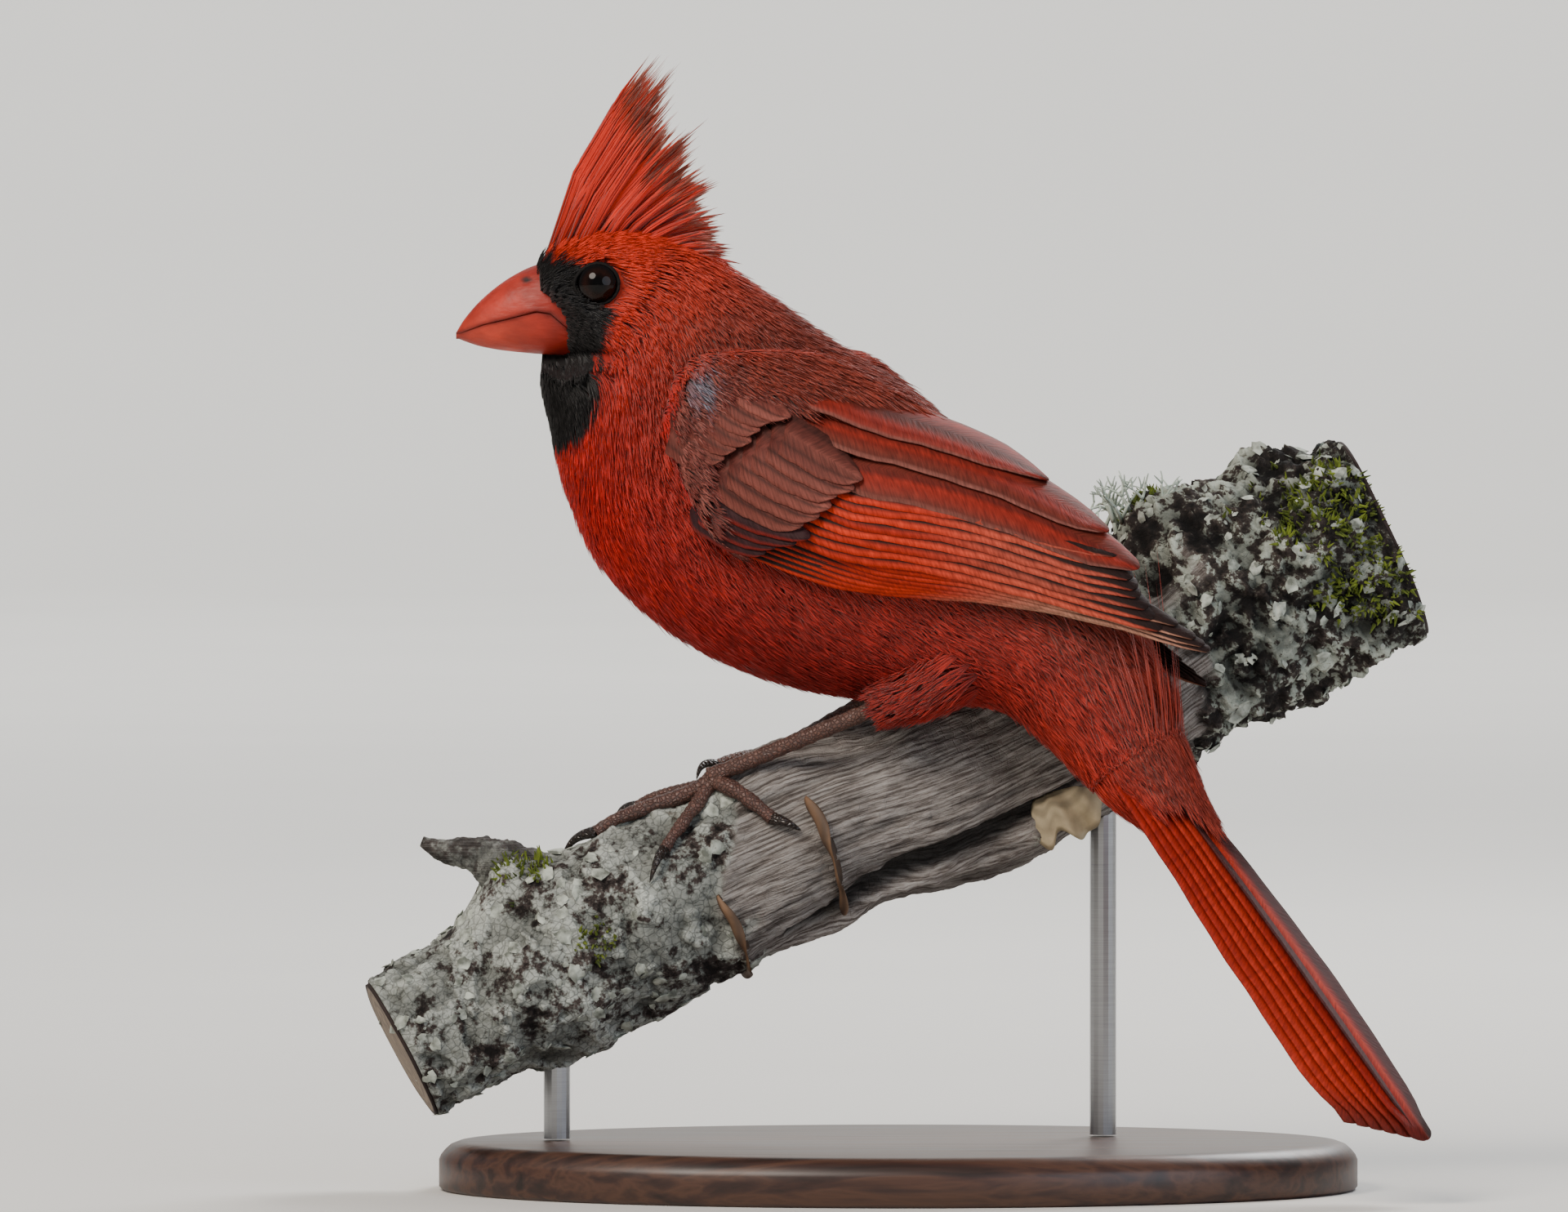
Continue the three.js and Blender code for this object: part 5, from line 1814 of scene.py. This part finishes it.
SCATTER_INPUTS = {
    "Number per square metre": ("NodeSocketFloat", 60000.0),
    "Size": ("NodeSocketFloat", 0.001),
    "Lean": ("NodeSocketFloat", 0.3),
    "Seed": ("NodeSocketInt", 3),
    "Stuff": ("NodeSocketMaterial", None),
}


def scatter_tree(name, where, shape_of):
    """Scatters one small shape over a surface where its attribute is high."""
    tree, given, result = tree_with(name, SCATTER_INPUTS)
    share = add(tree, "GeometryNodeInputNamedAttribute", {"Name": where}, data_type="FLOAT")
    number = add(
        tree,
        "ShaderNodeMath",
        {0: given.outputs["Number per square metre"], 1: share.outputs[0]},
        operation="MULTIPLY",
    )
    spots = add(
        tree,
        "GeometryNodeDistributePointsOnFaces",
        {"Mesh": given.outputs["Surface"], "Density": number.outputs[0], "Seed": given.outputs["Seed"]},
    )
    size = add(tree, "FunctionNodeRandomValue", {2: 0.3, 3: 1.6, "Seed": given.outputs["Seed"]}, data_type="FLOAT")
    scale = add(tree, "ShaderNodeMath", {0: size.outputs[1], 1: given.outputs["Size"]}, operation="MULTIPLY")
    spin = add(
        tree,
        "FunctionNodeRandomValue",
        {0: (-1.0, -1.0, -10.0), 1: (1.0, 1.0, 10.0), "Seed": given.outputs["Seed"]},
        data_type="FLOAT_VECTOR",
    )
    lean = add(
        tree, "ShaderNodeVectorMath", {0: spin.outputs[0], "Scale": given.outputs["Lean"]}, operation="SCALE"
    )
    way = add(
        tree,
        "FunctionNodeRotateRotation",
        {"Rotation": spots.outputs["Rotation"], "Rotate By": lean.outputs[0]},
        rotation_space="LOCAL",
    )
    placed = add(
        tree,
        "GeometryNodeInstanceOnPoints",
        {
            "Points": spots.outputs["Points"],
            "Instance": shape_of(tree),
            "Rotation": way.outputs[0],
            "Scale": scale.outputs[0],
        },
    )
    real = add(tree, "GeometryNodeRealizeInstances", {"Geometry": placed.outputs["Instances"]})
    finish = add(
        tree, "GeometryNodeSetMaterial", {"Geometry": real.outputs["Geometry"], "Material": given.outputs["Stuff"]}
    )
    tree.links.new(finish.outputs["Geometry"], result.inputs["Growth"])
    return tree


def flake_shape(tree):
    """A flat lobed flake of lichen, about 1 across before it is scaled."""
    ball = add(tree, "GeometryNodeMeshUVSphere", {"Segments": 9, "Rings": 4, "Radius": 1.0})
    place = add(tree, "GeometryNodeInputPosition")
    ruffle = add(tree, "ShaderNodeTexNoise", {"Vector": place.outputs[0], "Scale": 2.6, "Detail": 1.0})
    centred = add(tree, "ShaderNodeVectorMath", {0: ruffle.outputs["Color"], 1: (0.5, 0.5, 0.5)}, operation="SUBTRACT")
    stronger = add(tree, "ShaderNodeVectorMath", {0: centred.outputs[0], "Scale": 2.2}, operation="SCALE")
    lobed = add(tree, "GeometryNodeSetPosition", {"Geometry": ball.outputs["Mesh"], "Offset": stronger.outputs[0]})
    flat = add(tree, "GeometryNodeTransform", {"Geometry": lobed.outputs["Geometry"], "Scale": (1.0, 0.8, 0.15)})
    return flat.outputs["Geometry"]


def sprig_shape(tree):
    """A pointed sprig of moss, about 1 high before it is scaled."""
    cone = add(
        tree,
        "GeometryNodeMeshCone",
        {"Vertices": 5, "Radius Top": 0.05, "Radius Bottom": 0.26, "Depth": 1.3},
    )
    return cone.outputs["Mesh"]


def grown_on(host, name, tree, values, slot):
    """Runs a tree on a copy of a piece and keeps the result as a plain mesh."""
    carrier = bpy.data.objects.new(name + " carrier", host.data)
    bpy.context.scene.collection.objects.link(carrier)
    modifier = carrier.modifiers.new("growth", "NODES")
    modifier.node_group = tree
    for item in tree.interface.items_tree:
        if item.in_out == "INPUT" and item.name in values:
            modifier[item.identifier] = values[item.name]
    ready = carrier.evaluated_get(bpy.context.evaluated_depsgraph_get())
    mesh = bpy.data.meshes.new_from_object(ready)
    bpy.data.objects.remove(carrier)
    piece = bpy.data.objects.new(name, mesh)
    bpy.context.scene.collection.objects.link(piece)
    return keep(piece, slot)


def growth_material(name, dark, light, scale):
    """Lichen or moss: dry, matt, mottled between two tones."""
    made, tree, shader = new_material(name)
    coords = add(tree, "ShaderNodeTexCoord")
    cloud = add(tree, "ShaderNodeTexNoise", {"Vector": coords.outputs["Object"], "Scale": scale, "Detail": 3.0})
    share = add(tree, "ShaderNodeMapRange", {"Value": cloud.outputs["Fac"], "From Min": 0.35, "From Max": 0.65})
    tone = add(tree, "ShaderNodeMix", {0: share.outputs["Result"], 6: rgba(dark), 7: rgba(light)}, data_type="RGBA")
    tree.links.new(tone.outputs[2], shader.inputs["Base Color"])
    shader.inputs["Roughness"].default_value = 0.95
    return made


LICHEN = growth_material("leafy lichen", "#5b5f57", "#b2b8ad", 520.0)
MOSS = growth_material("cushion moss", "#2e3a0f", "#6e7c20", 500.0)
TUFT = growth_material("shrubby lichen", "#8d9a8c", "#bfcabd", 300.0)
flakes = scatter_tree("lichen flakes", "flaky", flake_shape)
sprigs = scatter_tree("moss sprigs", "mossy", sprig_shape)
flake_values = {"Number per square metre": 130000.0, "Size": 0.00095, "Lean": 0.32, "Seed": 5, "Stuff": LICHEN}
sprig_values = {"Number per square metre": 1500000.0, "Size": 0.0009, "Lean": 0.35, "Seed": 9, "Stuff": MOSS}
grown_on(branch, "lichen_flakes", flakes, flake_values, "weathered_wood")
grown_on(branch, "moss", sprigs, sprig_values, "weathered_wood")

# %% [markdown]
# One shrubby lichen stands on the branch behind the wing. Its flat stems fork again and
# again, so each stem is a short tube and each fork starts two more.

# %% Shrubby lichen
def fork(root, way, length, thick, level, stems):
    """Adds a stem and, above it, its forks."""
    t = np.linspace(0, 1, 6)[:, None]
    bend = unit(np.cross(way, rng.normal(size=3)))
    path = root + length * t * way + 0.22 * length * t**2 * bend
    stems.append(tube_rings(path, thick * (1 - 0.45 * t[:, 0]), sides=6))
    if level == 0:
        return
    end = path[-1]
    ahead = unit(path[-1] - path[-2])
    for _ in range(2):
        turn = unit(ahead + 0.62 * rng.normal(size=3) * np.array([1.0, 0.6, 0.8]) + np.array([0, 0, 0.15]))
        fork(end, turn, length * 0.72, thick * 0.66, level - 1, stems)


def shrubby_lichen():
    stems = []
    for k in range(9):
        root = on_perch(7.05 + 0.05 * rng.normal(), 4 + 6 * rng.normal(), -0.3)
        way = unit(np.array([0.55 * rng.normal(), 0.35 * rng.normal(), 1.0]))
        fork(root, way, 5.2 * rng.uniform(0.8, 1.1), 0.62, 3, stems)
    return keep(joined_tubes("shrubby_lichen", stems, TUFT), "weathered_wood")


shrubby_lichen()

# %% [markdown]
# The shanks and toes are covered with horny scutes, drawn here as low rings on tubes.
# Each foot has three toes forward and one back, all bent round the branch. The claws are
# separate curved cones of dark horn.

# %% Legs and feet
FEET = {
    "left": dict(ankle=np.array([0.5, -12.2, 81.8]), at=(3.38, 22), heading=1),
    "right": dict(ankle=np.array([8.5, 6.0, 88.5]), at=(4.0, -36), heading=-1),
}
SHANK = 1.35
TOE = 1.35
TOES = (  # stations to the tip, degrees to the tip, claw in stations, thickness
    (-0.82, -8, 0.34, 1.0),
    (-0.52, 34, 0.24, 0.9),
    (-0.5, -22, 0.24, 0.9),
    (0.26, 44, 0.2, 1.05),
)


def scute_material(name, light, dark, gloss):
    """Horny scales: small plates with a dull gloss, darker between them."""
    made, tree, shader = new_material(name)
    coords = add(tree, "ShaderNodeTexCoord")
    cells = add(tree, "ShaderNodeTexVoronoi", {"Vector": coords.outputs["Object"], "Scale": 1500.0}, feature="DISTANCE_TO_EDGE")
    cloud = add(tree, "ShaderNodeTexNoise", {"Vector": coords.outputs["Object"], "Scale": 300.0, "Detail": 4.0})
    worn = add(tree, "ShaderNodeMix", {0: cloud.outputs["Fac"], 6: rgba(dark), 7: rgba(light)}, data_type="RGBA")
    edge = add(tree, "ShaderNodeMapRange", {"Value": cells.outputs["Distance"], "From Max": 0.2, "To Min": 0.4})
    tone = scaled_colour(tree, worn.outputs[2], edge.outputs["Result"])
    bump = add(tree, "ShaderNodeBump", {"Height": edge.outputs["Result"], "Strength": 0.7, "Distance": 0.0003})
    tree.links.new(tone, shader.inputs["Base Color"])
    tree.links.new(bump.outputs["Normal"], shader.inputs["Normal"])
    shader.inputs["Roughness"].default_value = gloss
    return made


SCUTES = scute_material("scuted leg skin", "#6e4a3e", "#38231e", 0.5)
CLAW = scute_material("claw keratin", "#33261f", "#150f0c", 0.3)


def scuted(t, number, depth=0.07):
    """A radius factor with a step at each of a number of overlapping rings."""
    return 1 + depth * (0.5 - (t * number) % 1)


def toe_path(foot, reach, swing, thick, t):
    u = foot["at"][0] + reach * t
    degrees = foot["at"][1] + swing * foot["heading"] * t
    pads = 0.22 * np.sin(t * np.pi * 3) ** 2
    lift = TOE * thick * 0.8 + pads + np.where(t < 0.12, 0.6 * (1 - t / 0.12), 0)
    return on_perch(u, degrees, lift)


def foot_pieces(name, foot):
    toes, claws = [], []
    t = np.linspace(0, 1, 40)
    for reach, swing, claw, thick in TOES:
        radii = TOE * thick * (1.05 - 0.32 * t) * scuted(t, 13, 0.16) * (1 + 0.09 * np.cos(t * 6 * np.pi))
        toes.append(tube_rings(toe_path(foot, reach, swing, thick, t), radii))
        k = np.linspace(0, 1, 14)
        u = foot["at"][0] + reach + np.sign(reach) * claw * k * 0.8
        degrees = foot["at"][1] + swing * foot["heading"] + np.sign(swing) * foot["heading"] * 14 * k
        hook = TOE * thick * 0.8 + 1.5 * np.sin(np.pi * k * 0.9) - 0.9 * k
        claws.append(tube_rings(on_perch(u, degrees, hook), 0.95 * TOE * thick * (1 - k) ** 0.7 * 0.8 + 0.04))
    joint = on_perch(*foot["at"], TOE + 0.9)
    ankle = foot["ankle"]
    k = np.linspace(-0.2, 1.0, 56)
    shank_path = ankle + (joint - ankle) * k[:, None]
    radius = SHANK * (1 + 0.9 * np.exp(-((k + 0.2) / 0.16) ** 2) + 0.18 * np.exp(-((k - 1) / 0.07) ** 2))
    radius = radius * scuted(k, 13, 0.16)
    shank = tube_rings(shank_path, radius)
    leg = joined_tubes(f"leg_{name}", [shank], SCUTES)
    keep(leg, "scaled_skin", f"leg_{name}")
    paw = joined_tubes(f"toes_{name}", toes, SCUTES)
    keep(paw, "scaled_skin", f"foot_{name}")
    keep(joined_tubes(f"claws_{name}", claws, CLAW), "scaled_skin")


def thigh_sleeve(foot):
    """A surface round the upper leg, wide at the belly and closing on the shank."""
    ankle = foot["ankle"]
    ahead = unit(on_perch(*foot["at"], TOE + 0.9) - ankle)
    side = unit(np.cross(ahead, np.array([0.0, 0.0, 1.0])))
    up = np.cross(side, ahead)

    def place(x, angle, depth):
        radius = np.interp(x, [-16, -8, 0, 7, 16], [6.4, 5.4, 3.6, 2.0, 1.5]) + COAT_DEPTH - depth
        lean = 2.2 * smooth((-x) / 14)
        middle = ankle + x[..., None] * ahead + lean[..., None] * up
        ring = np.cos(angle)[..., None] * up + np.sin(angle)[..., None] * side
        return middle + radius[..., None] * ring

    return place


def thigh(name, foot):
    x, angle = np.meshgrid(np.arange(-15, 3.5, 1.6), np.linspace(-np.pi, np.pi, 16, endpoint=False), indexing="ij")
    x = x.ravel() + rng.uniform(-0.8, 0.8, x.size)
    angle = angle.ravel() + rng.uniform(-0.15, 0.15, x.size)
    length = np.interp(x, [-15, 3], [8.0, 3.4])
    # Painted shade: the feathers darken to 0.7 towards the shank, under the belly.
    colour = blend(BELLY, FLANK, 0.5 + 0.5 * np.sin(2 * x + angle)) * np.interp(x, [-6, 4], [1.0, 0.7])[:, None]
    spot = np.stack([0.1 + 0.8 * (angle / (2 * np.pi) + 0.5), 0.1 + 0.8 * (x + 16) / 20], axis=-1)
    coat = Feathers(thigh_sleeve(foot), x, angle, length, 10 + 0 * x, np.full(len(x), 0.32), colour, spot)
    coat.fan = 0.2
    return coat.piece(name)


for name, foot in FEET.items():
    foot_pieces(name, foot)
    thigh(f"coat_thigh_{name}", foot)

# %% [markdown]
# The stand is plain: an oval base of dark oiled wood with a softened edge, and two steel
# rods. The base is drawn with a smooth outline in place of the faceted solid.

# %% Stand
BASE_LONG, BASE_WIDE, BASE_HIGH = 152.0, 98.0, 8.0


def walnut_material():
    """Oiled walnut: dark brown with long grain and a low satin gloss."""
    made, tree, shader = new_material("oiled walnut")
    coords = add(tree, "ShaderNodeTexCoord")
    grain_way = add(tree, "ShaderNodeMapping", {"Vector": coords.outputs["Object"], "Scale": (1.0, 14.0, 14.0)})
    grain = add(tree, "ShaderNodeTexNoise", {"Vector": grain_way.outputs["Vector"], "Scale": 26.0, "Detail": 8.0, "Distortion": 0.4})
    tone = add(tree, "ShaderNodeValToRGB", {"Fac": grain.outputs["Fac"]})
    set_ramp(tone, [(0.30, "#1c110c"), (0.45, "#35211a"), (0.56, "#4a3023"), (0.72, "#2a1a13")])
    bump = add(tree, "ShaderNodeBump", {"Height": grain.outputs["Fac"], "Strength": 0.15, "Distance": 0.0003})
    gloss = add(tree, "ShaderNodeMapRange", {"Value": grain.outputs["Fac"], "To Min": 0.32, "To Max": 0.5})
    tree.links.new(tone.outputs["Color"], shader.inputs["Base Color"])
    tree.links.new(gloss.outputs["Result"], shader.inputs["Roughness"])
    tree.links.new(bump.outputs["Normal"], shader.inputs["Normal"])
    return made


def steel_material():
    """Brushed steel rod: fine lines round it from the lathe."""
    made, tree, shader = new_material("brushed steel")
    coords = add(tree, "ShaderNodeTexCoord")
    lines_way = add(tree, "ShaderNodeMapping", {"Vector": coords.outputs["Object"], "Scale": (1.0, 1.0, 40.0)})
    lines = add(tree, "ShaderNodeTexNoise", {"Vector": lines_way.outputs["Vector"], "Scale": 120.0, "Detail": 4.0})
    tone = add(tree, "ShaderNodeMix", {0: lines.outputs["Fac"], 6: rgba("#8f9092"), 7: rgba("#b4b5b6")}, data_type="RGBA")
    gloss = add(tree, "ShaderNodeMapRange", {"Value": lines.outputs["Fac"], "To Min": 0.22, "To Max": 0.42})
    tree.links.new(tone.outputs[2], shader.inputs["Base Color"])
    tree.links.new(gloss.outputs["Result"], shader.inputs["Roughness"])
    shader.inputs["Metallic"].default_value = 1.0
    return made


def stand_base():
    profile = [(0.0, 0.6), (0.6, 0.0), (5.0, 0.0), (5.8, 0.35), (6.6, 1.0), (7.4, 1.9), (7.9, 3.2), (8.0, 5.0)]
    a = np.linspace(0, 2 * np.pi, 160, endpoint=False)
    rings = [
        np.stack([(BASE_LONG / 2 - inset) * np.cos(a), (BASE_WIDE / 2 - inset) * np.sin(a), 0 * a + z], axis=-1)
        for z, inset in profile
    ]
    walls, fans = tube_faces(len(rings), len(a))
    points = tube_points(np.stack(rings))
    if inside_out(points, walls):
        walls, fans = walls[:, ::-1], fans[:, ::-1]
    piece = mesh_piece("stand_base", points, [walls, fans], walnut_material())
    return keep(piece, "base_wood", "stand_base")


stand_base()
steel = steel_material()
for name in ("stand_rod_1", "stand_rod_2"):
    rod = nodes[name]
    rod.data.materials.clear()
    rod.data.materials.append(steel)

# %% [markdown]
# The floor is a plain pale sweep, and three soft lights stand round the bird: a large one
# from the upper left as in the photo, a weaker one opposite and one behind for the edges.
# A fourth lights the wall alone.

# %% Floor, lights and camera
FLOOR_HALF = 1500.0


def floor_material():
    """Painted board: matt and pale, with a faint unevenness."""
    made, tree, shader = new_material("matt painted floor")
    coords = add(tree, "ShaderNodeTexCoord")
    cloud = add(tree, "ShaderNodeTexNoise", {"Vector": coords.outputs["Object"], "Scale": 6.0})
    tone = add(tree, "ShaderNodeMix", {0: cloud.outputs["Fac"], 6: rgba("#d2d0cb"), 7: rgba("#d8d6d1")}, data_type="RGBA")
    tree.links.new(tone.outputs[2], shader.inputs["Base Color"])
    shader.inputs["Roughness"].default_value = 0.85
    return made


def sweep():
    """A floor that curves up into a wall far behind."""
    bend = np.linspace(0, np.pi / 2, 24)
    radius = 1000.0
    y = np.concatenate([[-4500.0], 3700 + radius * np.sin(bend), [4700.0]])
    z = np.concatenate([[0.0], radius - radius * np.cos(bend), [3600.0]])
    x = np.array([-FLOOR_HALF * 2, FLOOR_HALF * 2])
    points = np.array([[px, py, pz] for py, pz in zip(y, z) for px in x])
    points[:, 2] -= 0.05
    piece = mesh_piece("floor", points, [grid_faces(len(y), 2)[:, ::-1]], floor_material())
    return piece


def area_light(name, place, target, size, power, colour):
    data = bpy.data.lights.new(name, "AREA")
    data.shape = "DISK"
    data.size = size
    data.energy = power
    data.color = linear(colour)
    lamp = bpy.data.objects.new(name, data)
    lamp.location = place
    lamp.rotation_euler = (Vector(target) - Vector(place)).to_track_quat("-Z", "Y").to_euler()
    bpy.context.scene.collection.objects.link(lamp)
    return lamp


FOCUS = Vector((-0.0189, 0.0, 0.0965))
DISTANCE = 2.6
FRAME_WIDTH = 0.2592  # metres across the picture at the bird
TILT = 1.6  # degrees that the camera looks down


def camera():
    data = bpy.data.cameras.new("camera")
    data.sensor_width = 36.0
    data.lens = 36.0 * DISTANCE / FRAME_WIDTH
    data.clip_start = 0.05
    data.clip_end = 20.0
    eye = bpy.data.objects.new("camera", data)
    tilt = math.radians(TILT)
    eye.location = FOCUS + DISTANCE * Vector((0, -math.cos(tilt), math.sin(tilt)))
    eye.rotation_euler = (math.pi / 2 - tilt, 0, 0)
    bpy.context.scene.collection.objects.link(eye)
    bpy.context.scene.camera = eye


sweep()
area_light("key", (-0.7, -0.9, 1.1), FOCUS, 0.8, 26, "#fff4e8")
area_light("fill", (1.0, -1.0, 0.5), FOCUS, 1.2, 9, "#e8f0ff")
area_light("rim", (0.5, 0.8, 0.9), FOCUS, 0.6, 14, "#ffffff")
area_light("backdrop", (0, 2.2, 2.8), (0, 4.4, 0.8), 2.4, 160, "#ffffff")
world = bpy.data.worlds.new("studio")
world.use_nodes = True
world.node_tree.nodes["Background"].inputs["Color"].default_value = rgba("#dfe3ea")
world.node_tree.nodes["Background"].inputs["Strength"].default_value = 0.35
bpy.context.scene.world = world
camera()
